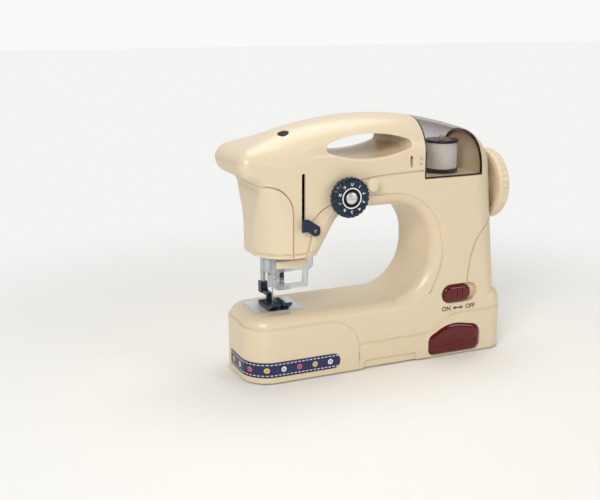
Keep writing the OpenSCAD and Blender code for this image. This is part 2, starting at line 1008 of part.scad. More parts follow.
module lamp() {
  color([0.95, 0.95, 0.85]) {
    rod_z(head_z - lamp_rim_t, head_z, lamp_x, lamp_y, lamp_rim_r);
    rod_z(head_z - lamp_rim_t - lamp_l + lamp_r, head_z - lamp_rim_t, lamp_x, lamp_y, lamp_r);
    translate([lamp_x, lamp_y, head_z - lamp_rim_t - lamp_l + lamp_r])
      sphere(lamp_r);
  }
}

switch_back = -half_d + pocket_deep + pocket_floor;

module switch_body() {
  color([0.15, 0.15, 0.16])
    block([switch_x - switch_body_half_w, switch_back, switch_z - switch_body_half_h],
      [switch_x + switch_body_half_w, switch_back + switch_body_t, switch_z + switch_body_half_h]);
}

module circuit_board() {
  color([0.15, 0.42, 0.25])
    block([switch_x - board_left, switch_back + switch_body_t, switch_z - board_low],
      [switch_x + board_right, switch_back + switch_body_t + board_t, switch_z + board_high]);
}

module motor() {
  color([0.6, 0.61, 0.64])
    difference() {
      union() {
        rod_x(motor_x0, motor_x1, lower_shaft_y, motor_z, motor_r);
        rod_x(motor_x1, motor_x1 + motor_boss_l, lower_shaft_y, motor_z, motor_boss_r);
      }
      rod_x(motor_x1 - motor_stub, motor_x1 + motor_boss_l + over, lower_shaft_y, motor_z,
        motor_shaft_r + run_fit);
    }
}

module motor_cradle() {
  color([0.85, 0.8, 0.7])
    for (x = [motor_x0 + cradle_in, motor_x1 - cradle_in - cradle_t])
      difference() {
        block([x, lower_shaft_y - cradle_half, floor_z],
          [x + cradle_t, lower_shaft_y + cradle_half, motor_z - motor_r * cradle_up_share]);
        rod_x(x - over, x + cradle_t + over, lower_shaft_y, motor_z, motor_r + run_fit);
        rod_x(x - over, x + cradle_t + over, lower_shaft_y, lower_shaft_z, shaft_r + shaft_room);
      }
}

module shaft_bearings() {
  color([0.85, 0.8, 0.7])
    for (x = [bearing_left_x, bearing_right_x])
      difference() {
        block([x, -bearing_half, shaft_z - bearing_half + shaft_r],
          [x + bearing_t, half_d - wall, shaft_z + bearing_half]);
        rod_x(x - over, x + bearing_t + over, 0, shaft_z, shaft_r + run_fit);
      }
}

module lower_bearings() {
  color([0.85, 0.8, 0.7])
    for (x = [bearing_left_x - 2 * bearing_half, lower_right_x])
      difference() {
        block([x, lower_shaft_y - bearing_half, floor_z],
          [x + bearing_t, lower_shaft_y + bearing_half, lower_shaft_z + bearing_half]);
        rod_x(x - over, x + bearing_t + over, lower_shaft_y, lower_shaft_z, shaft_r + run_fit);
      }
}

module pedal_jack() {
  color([0.12, 0.12, 0.13])
    difference() {
      union() {
        rod_y(base_half - jack_deep, base_half + lower_t, jack_x, jack_z, jack_body_r);
        rod_y(base_half + lower_t, base_half + lower_t + jack_flange_t / 2, jack_x, jack_z, jack_flange_r);
        rod_y(base_half - wall - jack_flange_t, base_half - wall, jack_x, jack_z, jack_flange_r);
      }
      rod_y(base_half + lower_t + jack_flange_t / 2 - jack_l, base_half + lower_t + over, jack_x, jack_z,
        jack_r);
    }
}

module label_strip() {
  $fn = 24;
  color([0.12, 0.16, 0.3])
    moulded()
      intersection() {
        difference() {
          skin(base_rings(panel_t + strip_t, outer_steps, foot_h));
          skin(base_rings(panel_t, outer_steps, -over));
        }
        prism_y(-reach, strip_back)
          polygon(outline([
            [-reach, strip_low, over],
            [strip_x, strip_low, strip_r],
            [strip_x, strip_high, strip_r],
            [-reach, strip_high, over]]));
      }
}

module guide_post() {
  color([0.92, 0.88, 0.78]) {
    rod_y(-half_d - post_l, -half_d, post_x, post_z, post_r);
    rod_y(-half_d - post_l - post_head_l, -half_d - post_l, post_x, post_z, post_head_r);
  }
}

module guide_clip() {
  color([0.78, 0.79, 0.8]) {
    difference() {
      block([clip_x - clip_side, -half_d + wall, clip_z - clip_h / 2],
        [lid_left - well_wall - 2 * gap, -half_d + wall + clip_t, handle_z - handle_h / 2 - wall - gap]);
      prism_y(-half_d, 0)
        slot_shape(clip_x, clip_z, clip_w / 2, clip_h / 2);
    }
    for (dz = [-clip_pin_dz, clip_pin_dz])
      rod_y(-half_d - clip_pin_l, -half_d + wall, clip_pin_x, clip_z + dz, clip_pin_r);
  }
}

module spool_well() {
  $fn = 24;
  color([0.82, 0.78, 0.68])
    moulded()
      difference() {
        intersection() {
          skin(body_rings(-wall - seam, inner_steps));
          block([lid_left - well_wall - gap, -reach, lid_z - well_t],
            [lid_right + well_wall + gap, reach, reach]);
        }
        block([lid_left - gap, -reach, lid_z], [lid_right + gap, reach, reach]);
      }
}

module spool_spindle() {
  color([0.86, 0.78, 0.62]) {
    rod_z(lid_z, lid_z + spindle_foot_t, spool_x, spool_y, spindle_foot_r);
    rod_z(lid_z + spindle_foot_t, spool_z + spool_h + spindle_over - spindle_r, spool_x, spool_y,
      spindle_r);
    translate([spool_x, spool_y, spool_z + spool_h + spindle_over - spindle_r])
      sphere(spindle_r);
  }
}

module pin_sleeve() {
  $fn = 24;
  color([0.85, 0.8, 0.7])
    moulded()
      difference() {
        intersection() {
          rod_z(sleeve_low, arm_top, pin_x, pin_y, pin_r + sleeve_t);
          skin(body_rings(-wall - seam, inner_steps));
        }
        rod_z(sleeve_low - over, arm_top + over, pin_x, pin_y, pin_r + run_fit);
      }
}

module tension_stud() {
  color([0.75, 0.76, 0.78]) {
    rod_y(-half_d - dial_back - dial_t + cap_in + gap, -half_d + stud_in, dial_x, dial_z, stud_r);
    rod_y(-half_d + wall + stud_lift, -half_d + wall + stud_lift + stud_nut_t, dial_x, dial_z, stud_nut_r);
  }
}

module tension_discs() {
  color([0.8, 0.81, 0.82])
    for (k = [0, 1])
      difference() {
        y1 = -half_d - gap - k * (disc_t + gap);
        rod_y(y1 - disc_t, y1, dial_x, dial_z, disc_r);
        rod_y(y1 - disc_t - over, y1 + over, dial_x, dial_z, stud_r + run_fit);
      }
}

rail_high = stem_z + carriage_h + takeup_stroke + rail_over;

module takeup_rail() {
  color([0.75, 0.76, 0.78]) {
    rod_z(rail_low, rail_high + rail_lug, slot_x, rail_y, rail_r);
    for (z = [rail_low, rail_high])
      block([slot_x - rail_lug_half, -half_d + wall + rail_seat, z],
        [slot_x + rail_lug_half, rail_y + rail_lug_half, z + rail_lug]);
  }
}

module head_frame() {
  color([0.85, 0.8, 0.7])
    difference() {
      union() {
        block([frame_left_x, half_d - wall - frame_plate_t, guide_low],
          [guide_right_x, half_d - wall, guide_high + guide_t]);
        for (z = [guide_low, guide_high]) {
          block([needle_x - guide_left, -guide_front, z], [guide_right_x, guide_back, z + guide_t]);
          block([frame_left_x, -guide_front, z], [guide_right_x, half_d - wall, z + guide_t]);
        }
      }
      rod_z(guide_low - over, guide_high + guide_t + over, needle_x, 0, bar_r + run_fit);
      rod_z(guide_low - over, guide_high + guide_t + over, needle_x, presser_y, presser_r + run_fit);
    }
}

module lifter_bracket() {
  color([0.85, 0.8, 0.7]) {
    block([lifter_x - bracket_half, bracket_y, lifter_z - bracket_drop],
      [lifter_x + bracket_half, bracket_y + bracket_t, head_z]);
    rod_y(lifter_y0 - over, bracket_y, lifter_x, lifter_z, lifter_pin_r);
  }
}

// Line of the belt about the lower shaft, in Y and Z
module belt_loop(r) {
  rotate(belt_tilt)
    polygon(concat(
      [for (k = [0:belt_steps]) let (a = 180 * k / belt_steps) [r * cos(a), belt_run + r * sin(a)]],
      [for (k = [0:belt_steps]) let (a = 180 * k / belt_steps) [-r * cos(a), -r * sin(a)]]));
}

module drive_belt() {
  color([0.1, 0.1, 0.1])
    translate([0, lower_shaft_y, lower_shaft_z])
      prism_x(pulley_x + pulley_lip + belt_side, pulley_x + pulley_w - pulley_lip - belt_side)
        difference() {
          belt_loop(pulley_groove + gap + belt_t);
          belt_loop(pulley_groove + gap);
        }
}

module pulley(y, z) {
  difference() {
    union() {
      rod_x(pulley_x, pulley_x + pulley_w, y, z, pulley_groove);
      rod_x(pulley_x, pulley_x + pulley_lip, y, z, pulley_r);
      rod_x(pulley_x + pulley_w - pulley_lip, pulley_x + pulley_w, y, z, pulley_r);
    }
    rod_x(pulley_x - over, pulley_x + pulley_w + over, y, z, shaft_r);
  }
}

module main_shaft() {
  color([0.75, 0.76, 0.78])
    rod_x(crank_x0 + crank_t, wheel_x + wheel_w - hub_depth, 0, shaft_z, shaft_r);
}

module handwheel() {
  color([0.9, 0.86, 0.76])
    difference() {
      translate([wheel_x, 0, shaft_z])
        rotate([0, 90, 0])
          rotate_extrude()
            polygon([
              [0, 0], [wheel_r - wheel_bevel, 0], [wheel_r, wheel_bevel], [wheel_r, wheel_w - wheel_bevel],
              [wheel_r - wheel_bevel, wheel_w], [wheel_r - wheel_rim, wheel_w],
                [wheel_r - wheel_rim, wheel_web],
              [wheel_hub_r, wheel_web], [wheel_hub_r, wheel_w], [0, wheel_w]]);
      rod_x(wheel_x - over, wheel_x + wheel_w - hub_depth, 0, shaft_z, shaft_r);
      for (k = [0:wheel_notches - 1])
        translate([0, wheel_r * cos(360 * k / wheel_notches),
          shaft_z + wheel_r * sin(360 * k / wheel_notches)])
          rod_x(wheel_x - over, wheel_x + wheel_w + over, 0, 0, notch_r);
    }
}

module upper_pulley() {
  color([0.2, 0.2, 0.22])
    pulley(0, shaft_z);
}

module crank_disc() {
  color([0.75, 0.76, 0.78]) {
    rod_x(crank_x0, crank_x0 + crank_t, 0, shaft_z, crank_disc_r);
    rod_x(crank_x0 - crank_pin_l, crank_x0, 0, shaft_z - crank_r, crank_pin_r);
  }
}

looper_x = needle_x + looper_side;

module lower_shaft() {
  color([0.75, 0.76, 0.78])
    rod_x(looper_x + looper_t, pulley_x + pulley_w + over, lower_shaft_y, lower_shaft_z, shaft_r);
}

module lower_pulley() {
  color([0.2, 0.2, 0.22])
    pulley(lower_shaft_y, lower_shaft_z);
}

// Half angle of an involute tooth at a radius
function tooth_half(teeth, r) =
  let (rp = gear_module * teeth / 2, rb = rp * cos(pressure), q = max(r, rb),
       inv_p = tan(pressure) * 180 / PI - pressure, a = acos(rb / q), inv_r = tan(a) * 180 / PI - a)
  90 / teeth + inv_p - inv_r - backlash / 2 / rp * 180 / PI / 2;

module gear_shape(teeth) {
  rp = gear_module * teeth / 2;
  tip = rp + gear_module * tip_share;
  root = rp - gear_module * root_share;
  polygon([for (k = [0:teeth - 1]) let (mid = 360 * k / teeth) each concat(
    [for (i = [0:flank_steps]) let (r = root + (tip - root) * i / flank_steps, a = mid - tooth_half(teeth,
      r)) [r * cos(a), r * sin(a)]],
    [for (i = [flank_steps:-1:0]) let (r = root + (tip - root) * i / flank_steps,
      a = mid + tooth_half(teeth, r)) [r * cos(a), r * sin(a)]])]);
}

module drive_gear() {
  color([0.9, 0.9, 0.88])
    difference() {
      translate([0, lower_shaft_y, lower_shaft_z])
        prism_x(gear_x, gear_x + gear_t)
          rotate(90)
            gear_shape(gear_teeth);
      rod_x(gear_x - over, gear_x + gear_t + over, lower_shaft_y, lower_shaft_z, shaft_r);
    }
}

module motor_pinion() {
  color([0.85, 0.7, 0.4]) {
    translate([0, lower_shaft_y, motor_z])
      prism_x(gear_x - pinion_side, gear_x + gear_t + pinion_side)
        rotate(90 + 180 / pinion_teeth)
          gear_shape(pinion_teeth);
    rod_x(motor_x1 - motor_stub + gap, gear_x - pinion_side, lower_shaft_y, motor_z, motor_shaft_r);
  }
}

module looper() {
  color([0.75, 0.76, 0.78])
    translate([0, lower_shaft_y, lower_shaft_z]) {
      rod_x(looper_x, looper_x + looper_t, 0, 0, looper_r);
      translate([looper_x, 0, 0])
        rotate([0, -90, 0])
          rotate_extrude(angle = finger_turn)
            translate([looper_r - finger_in, 0])
              square([finger_w, finger_l]);
    }
}

module needle_bar() {
  color([0.8, 0.81, 0.83])
    rod_z(bar_low, bar_high, needle_x, 0, bar_r);
}

yoke_z = shaft_z - crank_r;

module needle_yoke() {
  color([0.75, 0.76, 0.78])
    difference() {
      union() {
        block([needle_x - yoke_half, -crank_r - crank_pin_r - gap - yoke_side, yoke_z - yoke_h / 2],
          [needle_x + yoke_half, crank_r + crank_pin_r + gap + yoke_side, yoke_z + yoke_h / 2]);
        rod_z(yoke_z - yoke_h / 2 - yoke_hub, yoke_z + yoke_h / 2 + yoke_hub, needle_x, 0,
          bar_r + yoke_hub / 2);
      }
      rod_z(yoke_z - yoke_h, yoke_z + yoke_h, needle_x, 0, bar_r);
    }
}

module needle_clamp() {
  color([0.75, 0.76, 0.78])
    difference() {
      rod_z(clamp_low, clamp_low + clamp_h, needle_x, 0, clamp_r);
      rod_z(bar_low, clamp_low + clamp_h + over, needle_x, 0, bar_r);
      rod_z(clamp_low - over, bar_low + over, needle_x, 0, needle_r);
      rod_x(needle_x + needle_r + over, needle_x + clamp_r + over, 0,
        clamp_low + clamp_h * clamp_screw_share, clamp_screw_r);
    }
}

module clamp_screw() {
  color([0.7, 0.7, 0.72]) {
    rod_x(needle_x + needle_r + over, needle_x + clamp_r + clamp_out, 0,
      clamp_low + clamp_h * clamp_screw_share, clamp_screw_r);
    rod_x(needle_x + clamp_r + clamp_out, needle_x + clamp_r + clamp_out + clamp_head_l, 0,
      clamp_low + clamp_h * clamp_screw_share, clamp_head_r);
  }
}

needle_low = bed_z - needle_tip;

module needle() {
  color([0.85, 0.86, 0.88]) {
    rod_z(needle_low + needle_point, bar_low, needle_x, 0, needle_r);
    translate([needle_x, 0, needle_low])
      cylinder(h = needle_point, r1 = needle_r / 4, r2 = needle_r);
  }
}

module takeup_lever() {
  color([0.13, 0.2, 0.36])
    difference() {
      union() {
        block([slot_x - carriage_half, -half_d + wall + gap, stem_z - over],
          [slot_x + carriage_half, rail_y + carriage_half, stem_z - over + carriage_h]);
        block([slot_x - stem_w / 2, -half_d - blade_y, stem_z],
          [slot_x + stem_w / 2, rail_y - rail_r - over, stem_z + stem_h]);
        prism_y(-half_d - blade_y - blade_t, -half_d - blade_y)
          difference() {
            translate([slot_x, stem_z])
              polygon(outline([
                [-blade_left, -blade_drop, blade_r],
                [blade_right, -blade_drop, blade_r],
                [blade_right, blade_end, blade_r],
                [blade_left, blade_top, blade_r],
                [-blade_left, blade_top, blade_r]]));
            translate([slot_x + blade_right - blade_end, stem_z - blade_drop + blade_end - blade_r / 2])
              circle(blade_hole_r);
          }
      }
      rod_z(rail_low, rail_high, slot_x, rail_y, rail_r + run_fit);
    }
}

blade_left = 2.4;
blade_drop = 4.6;
blade_right = 11.6;
blade_end = 4;
blade_top = 10;
blade_r = 1.8;

module presser_bar() {
  color([0.8, 0.81, 0.83]) {
    rod_z(foot_arm_z + foot_arm_t, presser_high, needle_x, presser_y, presser_r);
    difference() {
      block([needle_x, presser_y - lug_half, lifter_z + lug_up],
        [lifter_x + lug_end, presser_y + lug_half, lifter_z + lug_up + lug_t]);
      rod_z(lifter_z, lifter_z + 2 * lug_up, needle_x, presser_y, presser_r - run_fit);
    }
  }
}

sole_z = bed_z + plate_z + sole_gap;

module presser_foot() {
  color([0.1, 0.16, 0.34])
    difference() {
      union() {
        block([needle_x - sole_left, -sole_front, sole_z],
          [needle_x + sole_left, sole_back, sole_z + sole_t]);
        prism_x(needle_x - sole_left, needle_x + sole_left)
          polygon([[-sole_front, sole_z], [-sole_front, sole_z + sole_t],
            [-sole_front - toe_run, sole_z + sole_t + toe_rise],
            [-sole_front - toe_run, sole_z + toe_rise]]);
        block([needle_x - foot_arm_w / 2, sole_back - foot_arm_t, sole_z],
          [needle_x + foot_arm_w / 2, sole_back, foot_arm_z]);
        block([needle_x - foot_arm_w / 2, sole_back - foot_arm_t, foot_arm_z],
          [needle_x + foot_arm_w / 2, presser_y + shank_half, foot_arm_z + foot_arm_t]);
        block([needle_x - shank_half, presser_y - shank_half, foot_arm_z],
          [needle_x + shank_half, presser_y + shank_half, shank_top]);
      }
      rod_z(sole_z - over, sole_z + sole_t + over, needle_x, 0, sole_hole);
      rod_z(foot_arm_z + foot_arm_t, shank_top + over, needle_x, presser_y, presser_r);
      block([needle_x - sole_hole / 2, -sole_front - toe_run - over, sole_z - over],
        [needle_x + sole_hole / 2, 0, sole_z + 2 * toe_rise]);
    }
}

module presser_lifter() {
  color([0.13, 0.2, 0.36])
    difference() {
      union() {
        rod_y(lifter_y0, lifter_y1, lifter_x, lifter_z, cam_r);
        prism_y(lifter_y0, lifter_y1)
          translate([lifter_x, lifter_z])
            polygon(concat([[-cam_in, 0], [0, -cam_in]],
              [for (k = [cam_steps:-1:0]) let (a = 90 * k / cam_steps, r = cam_r + cam_rise * k / cam_steps)
                [r * sin(a), r * cos(a) - cam_in * (1 - k / cam_steps) / cam_r]]));
        block([lifter_x - lifter_w / 2, lifter_y0, lifter_z - lifter_l],
          [lifter_x + lifter_w / 2, lifter_y1, lifter_z]);
      }
      rod_y(lifter_y0 - over, lifter_y1 + over, lifter_x, lifter_z, lifter_pin_r + run_fit);
    }
}

module tension_dial() {
  color([0.12, 0.18, 0.34])
    difference() {
      rod_y(-half_d - dial_back - dial_t, -half_d - dial_back, dial_x, dial_z, dial_r);
      rod_y(-half_d - dial_back - dial_t - over, -half_d - dial_back - dial_t + cap_in, dial_x, dial_z,
        cap_r + run_fit);
      rod_y(-half_d - dial_back - dial_t, -half_d, dial_x, dial_z, stud_r + run_fit);
      for (k = [0:dial_notches - 1])
        translate([dial_r * cos(360 * k / dial_notches), 0, dial_r * sin(360 * k / dial_notches)])
          rod_y(-half_d - dial_back - dial_t - over, -half_d, dial_x, dial_z, dial_notch_r);
    }
}

module dial_cap() {
  color([0.85, 0.86, 0.88])
    difference() {
      rod_y(-half_d - dial_back - dial_t - cap_out, -half_d - dial_back - dial_t + cap_in, dial_x, dial_z,
        cap_r);
      block([dial_x - cap_r / 2, -half_d - dial_back - dial_t - over, dial_z - cap_slot],
        [dial_x + cap_r / 2, -half_d - dial_back - dial_t - cap_out + cap_slot, dial_z + cap_slot]);
    }
}

module switch_knob() {
  color([0.5, 0.09, 0.12]) {
    x = switch_x - switch_w / 2 + knob_in + knob_w / 2;
    prism_y(-half_d - knob_out, -half_d + pocket_deep - gap)
      slot_shape(x, switch_z, knob_w, switch_h - 2 * gap);
    for (k = [0:knob_ribs - 1]) {
      rib_x = x + (k - (knob_ribs - 1) / 2) * knob_rib_step - knob_rib_w / 2;
      block([rib_x, -half_d - knob_out - knob_rib_out, switch_z - knob_rib_h / 2],
        [rib_x + knob_rib_w, -half_d - knob_out, switch_z + knob_rib_h / 2]);
    }
    block([x - stem_half_w, -half_d + pocket_deep - gap, switch_z - stem_half_h],
      [x + stem_half_w, switch_back - gap, switch_z + stem_half_h]);
  }
}

drawer_face = -base_half - lower_t;

module drawer_front() {
  color([0.48, 0.08, 0.1])
    difference() {
      prism_y(drawer_face, drawer_face + drawer_t)
        drawer_shape(0);
      block([drawer_left + tray_in, drawer_face - over, pull_z],
        [drawer_right - tray_in, drawer_face + pull_deep, pull_z + pull_h]);
    }
}

module drawer_tray() {
  color([0.48, 0.08, 0.1])
    difference() {
      block([drawer_left + tray_in, drawer_face + drawer_t, floor_z + gap],
        [drawer_right - tray_in, drawer_face + drawer_t + drawer_depth, floor_z + gap + tray_h]);
      block([drawer_left + tray_in + tray_wall, drawer_face + drawer_t + tray_wall,
        floor_z + gap + tray_wall],
        [drawer_right - tray_in - tray_wall, drawer_face + drawer_t + drawer_depth - tray_wall,
          floor_z + gap + tray_h + over]);
    }
}

module spool_lid() {
  color([0.35, 0.24, 0.16, 0.6]) {
    moulded()
      difference() {
        union() {
          intersection() {
            difference() {
              skin(body_rings(0, outer_steps));
              skin(body_rings(-wall, outer_steps));
            }
            lid_region(-gap);
          }
          rod_x(knuckle_x0, knuckle_x1, hinge_y, hinge_z, hinge_r, $fn = knuckle_sides);
          block([knuckle_x0, half_d - wall / 2, hinge_z - hinge_r],
            [knuckle_x1, hinge_y, hinge_z + hinge_r]);
        }
        rod_x(knuckle_x0 - over, knuckle_x1 + over, hinge_y, hinge_z, hinge_pin_r + run_fit,
          $fn = knuckle_sides);
      }
    rod_x(knuckle_x0 - hinge_pin_l, knuckle_x1 + hinge_pin_l, hinge_y, hinge_z, hinge_pin_r);
  }
}

module thread_spool() {
  color([0.12, 0.18, 0.34])
    difference() {
      union() {
        rod_z(spool_z, spool_z + flange_t, spool_x, spool_y, flange_r);
        rod_z(spool_z, spool_z + spool_h, spool_x, spool_y, spool_core_r);
        rod_z(spool_z + spool_h - flange_t, spool_z + spool_h, spool_x, spool_y, flange_r);
      }
      rod_z(spool_z - over, spool_z + spool_h + over, spool_x, spool_y, spindle_r + run_fit);
    }
}

module thread_core() {
  color([0.95, 0.95, 0.95])
    difference() {
      rod_z(spool_z + flange_t, spool_z + spool_h - flange_t, spool_x, spool_y, thread_core_r);
      rod_z(spool_z, spool_z + spool_h, spool_x, spool_y, spool_core_r);
    }
}

// Path of the winding: a helix with a straight end at each flange
wind_r = thread_core_r + thread_d / 2 + thread_seat;
wind_low = spool_z + flange_t + thread_seat;
wind_high = spool_z + spool_h - flange_t - thread_seat;
wind_step = (wind_high - wind_low - 4 * thread_d) / thread_loops;
wind_n = thread_loops * thread_rings;
function wind_at(k) = let (a = 360 * k / thread_rings)
  [spool_x + wind_r * cos(a), spool_y + wind_r * sin(a),
    wind_low + 2 * thread_d + wind_step * k / thread_rings];
wind_path = concat(
  [[wind_at(0).x, wind_at(0).y, wind_low]],
  [for (k = [0:wind_n]) wind_at(k)],
  [[wind_at(wind_n).x, wind_at(wind_n).y, wind_high]]);
wind_gap = min([for (i = [0:len(wind_path) - 1], j = [i + thread_rings / 2:i + 2 * thread_rings])
  if (j < len(wind_path)) norm(wind_path[i] - wind_path[j])]) - thread_d;
echo(str("least gap of the winding to itself: ", wind_gap));

function path_ring(p, k) =
  let (n = len(p), a = p[max(k - 1, 0)], b = p[min(k + 1, n - 1)], t = unit(b - a),
       o = unit([p[k].x - spool_x, p[k].y - spool_y, 0]), u = unit(o - t * (o * t)), v = cross(t, u))
  [for (s = [0:thread_sides - 1]) let (c = 360 * s / thread_sides) p[k] + (u * cos(c) + v * sin(c)) * thread_d / 2];

module thread_winding() {
  color([0.97, 0.97, 0.97])
    skin([for (k = [0:len(wind_path) - 1]) path_ring(wind_path, k)]);
}

module spool_pin() {
  color([0.1, 0.1, 0.11]) {
    rod_z(pin_top - pin_l, pin_top - pin_tip, pin_x, pin_y, pin_r);
    translate([pin_x, pin_y, pin_top - pin_tip])
      cylinder(h = pin_tip, r1 = pin_r, r2 = pin_r - pin_tip);
  }
}

module in_frame() {
  translate([shift_x, shift_y, 0])
    children();
}

in_frame() front_shell();
in_frame() rear_shell();
in_frame() face_cover();
in_frame() base_plate();
in_frame() battery_door();
in_frame() batteries();
in_frame() battery_contacts();
in_frame() rubber_feet();
in_frame() case_screws();
in_frame() needle_plate();
in_frame() finger_guard();
in_frame() guard_clamp();
in_frame() lamp();
in_frame() circuit_board();
in_frame() switch_body();
in_frame() motor();
in_frame() motor_cradle();
in_frame() shaft_bearings();
in_frame() lower_bearings();
in_frame() pedal_jack();
in_frame() label_strip();
in_frame() guide_post();
in_frame() guide_clip();
in_frame() spool_well();
in_frame() spool_spindle();
in_frame() pin_sleeve();
in_frame() tension_stud();
in_frame() tension_discs();
in_frame() takeup_rail();
in_frame() head_frame();
in_frame() lifter_bracket();
in_frame() drive_belt();
in_frame() main_shaft();
in_frame() handwheel();
in_frame() upper_pulley();
in_frame() crank_disc();
in_frame() lower_shaft();
in_frame() lower_pulley();
in_frame() drive_gear();
in_frame() looper();
in_frame() motor_pinion();
in_frame() needle_bar();
in_frame() needle_yoke();
in_frame() needle_clamp();
in_frame() clamp_screw();
in_frame() needle();
in_frame() takeup_lever();
in_frame() presser_bar();
in_frame() presser_foot();
in_frame() presser_lifter();
in_frame() tension_dial();
in_frame() dial_cap();
in_frame() switch_knob();
in_frame() drawer_front();
in_frame() drawer_tray();
in_frame() spool_lid();
in_frame() thread_spool();
in_frame() thread_core();
in_frame() thread_winding();
in_frame() spool_pin();
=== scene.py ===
# %% [markdown]
# A toy sewing machine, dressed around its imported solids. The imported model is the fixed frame: it says where
# every piece is and which pieces move together. This lesson makes the smooth moulded skins, the prints and
# the finishes that a plain solid can't show, one piece at a time.

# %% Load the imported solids
import json
import math
from functools import partial

import bmesh
import bpy
import numpy as np
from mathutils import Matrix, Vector


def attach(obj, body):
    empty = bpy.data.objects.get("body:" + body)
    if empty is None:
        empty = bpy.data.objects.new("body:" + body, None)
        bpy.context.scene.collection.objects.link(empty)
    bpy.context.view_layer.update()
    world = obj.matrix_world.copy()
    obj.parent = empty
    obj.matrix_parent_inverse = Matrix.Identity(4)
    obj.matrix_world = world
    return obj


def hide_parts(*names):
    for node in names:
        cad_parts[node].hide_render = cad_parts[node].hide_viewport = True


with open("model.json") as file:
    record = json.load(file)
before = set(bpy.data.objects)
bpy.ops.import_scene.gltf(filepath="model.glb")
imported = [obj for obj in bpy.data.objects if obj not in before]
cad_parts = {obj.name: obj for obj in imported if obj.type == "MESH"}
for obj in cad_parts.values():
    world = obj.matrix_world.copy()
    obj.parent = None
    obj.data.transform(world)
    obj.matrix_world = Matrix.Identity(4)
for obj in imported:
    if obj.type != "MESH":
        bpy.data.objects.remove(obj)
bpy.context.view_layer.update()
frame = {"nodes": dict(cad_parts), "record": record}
nodes = frame["nodes"]
scene = bpy.context.scene
scene.view_settings.view_transform = "Standard"

# %% [markdown]
# The camera comes first, because it settles what has to look right. Product pictures are taken with a fairly
# long lens, so the lens length follows from how strongly the verticals and the depth shrink.

# %% Camera at the picture's viewing angle
MM = 0.001
SHIFT = np.array([-0.008, 3.375, 0.0])
PICTURE_W, FOCAL_PX, SENSOR = 600, 942.7, 36.0
AIM = np.array([-71.6, -28.6, 103.5]) * MM
AZIMUTH, ELEVATION, DISTANCE = math.radians(23.76), math.radians(14.42), 700 * MM

back = np.array([-math.sin(AZIMUTH) * math.cos(ELEVATION), -math.cos(AZIMUTH) * math.cos(ELEVATION),
                 math.sin(ELEVATION)])
camera = bpy.data.objects.new("camera", bpy.data.cameras.new("camera"))
scene.collection.objects.link(camera)
camera.data.sensor_width = SENSOR
camera.data.lens = FOCAL_PX / PICTURE_W * SENSOR
camera.location = Vector(AIM + back * DISTANCE)
camera.rotation_euler = Vector(-back).to_track_quat("-Z", "Y").to_euler()
camera.data.clip_end = 50
scene.camera = camera
print("lens", round(camera.data.lens, 2), "mm")

# %% [markdown]
# Small helpers put numpy arrays into meshes. A surface is a grid of points; its faces are four-cornered and
# follow from the grid's size alone, so no loop over points is needed. Lengths are written in millimetres, in
# the drawing's own coordinates, and are shifted into the frame at the end.

# %% Mesh helpers
def grid_quads(rows, cols, wrap_cols=True, wrap_rows=False):
    """Faces of a grid: point (i, j) joins (i, j+1), (i+1, j+1) and (i+1, j); both ways may be closed."""
    i = np.arange(rows if wrap_rows else rows - 1)[:, None]
    j = np.arange(cols if wrap_cols else cols - 1)[None, :]
    i2, j2 = (i + 1) % rows, (j + 1) % cols
    return np.stack([i * cols + j, i * cols + j2, i2 * cols + j2, i2 * cols + j], axis=-1).reshape(-1, 4)


def new_mesh(name, points, faces):
    """A mesh object from points in millimetres; its place is in its points."""
    mesh = bpy.data.meshes.new(name)
    mesh.from_pydata(((np.asarray(points, float) + SHIFT) * MM).tolist(), [], faces)
    mesh.validate()
    made = bpy.data.objects.new(name, mesh)
    scene.collection.objects.link(made)
    return made


def points_of(mesh):
    """A mesh's points as rows (x, y, z)."""
    co = np.empty(len(mesh.vertices) * 3)
    mesh.vertices.foreach_get("co", co)
    return co.reshape(-1, 3)


def outward(made):
    """Merges doubled points and turns all faces outwards."""
    work = bmesh.new()
    work.from_mesh(made.data)
    bmesh.ops.remove_doubles(work, verts=work.verts, dist=1e-7)
    bmesh.ops.recalc_face_normals(work, faces=work.faces)
    work.to_mesh(made.data)
    work.free()
    return made


def loft(name, rings, closed=False):
    """Skin over a stack of rings with equal point counts; the end rings are flat caps, or join each other."""
    rings = np.asarray(rings, float)
    m, n = rings.shape[:2]
    faces = grid_quads(m, n, True, closed).tolist()
    if not closed:
        faces += [list(range(n)), list(range((m - 1) * n, m * n))]
    return outward(new_mesh(name, rings.reshape(-1, 3), faces))


def soften(made, angle):
    """Smooth shading, weighted by face area, with a crease where two faces meet at more than the angle."""
    mesh = made.data
    mesh.polygons.foreach_set("use_smooth", np.ones(len(mesh.polygons), bool))
    mesh.set_sharp_from_angle(angle=math.radians(angle))
    even = made.modifiers.new("even", "WEIGHTED_NORMAL")
    even.keep_sharp = True
    graph = bpy.context.evaluated_depsgraph_get()
    made.data = bpy.data.meshes.new_from_object(
        made.evaluated_get(graph), preserve_all_data_layers=True, depsgraph=graph)
    made.modifiers.clear()
    bpy.data.meshes.remove(mesh)
    return made


def join(tool):
    """A carving step that adds a tool."""
    return "UNION", tool


def cut(tool):
    """A carving step that takes a tool away."""
    return "DIFFERENCE", tool


def keep(tool):
    """A carving step that keeps only what lies in a tool."""
    return "INTERSECT", tool


def carve(target, *steps):
    """Applies steps to a closed mesh, in order; the tools are removed afterwards."""
    for how, tool in steps:
        step = target.modifiers.new("step", "BOOLEAN")
        step.operation, step.object, step.solver = how, tool, "MANIFOLD"
    graph = bpy.context.evaluated_depsgraph_get()
    result = bpy.data.meshes.new_from_object(target.evaluated_get(graph))
    target.modifiers.clear()
    target.data = result
    for tool in {tool for _, tool in steps}:
        bpy.data.objects.remove(tool)
    return target


def copy_of(made, name):
    """A second object with its own mesh and name."""
    twin = made.copy()
    twin.data = made.data.copy()
    twin.name = name
    scene.collection.objects.link(twin)
    return twin


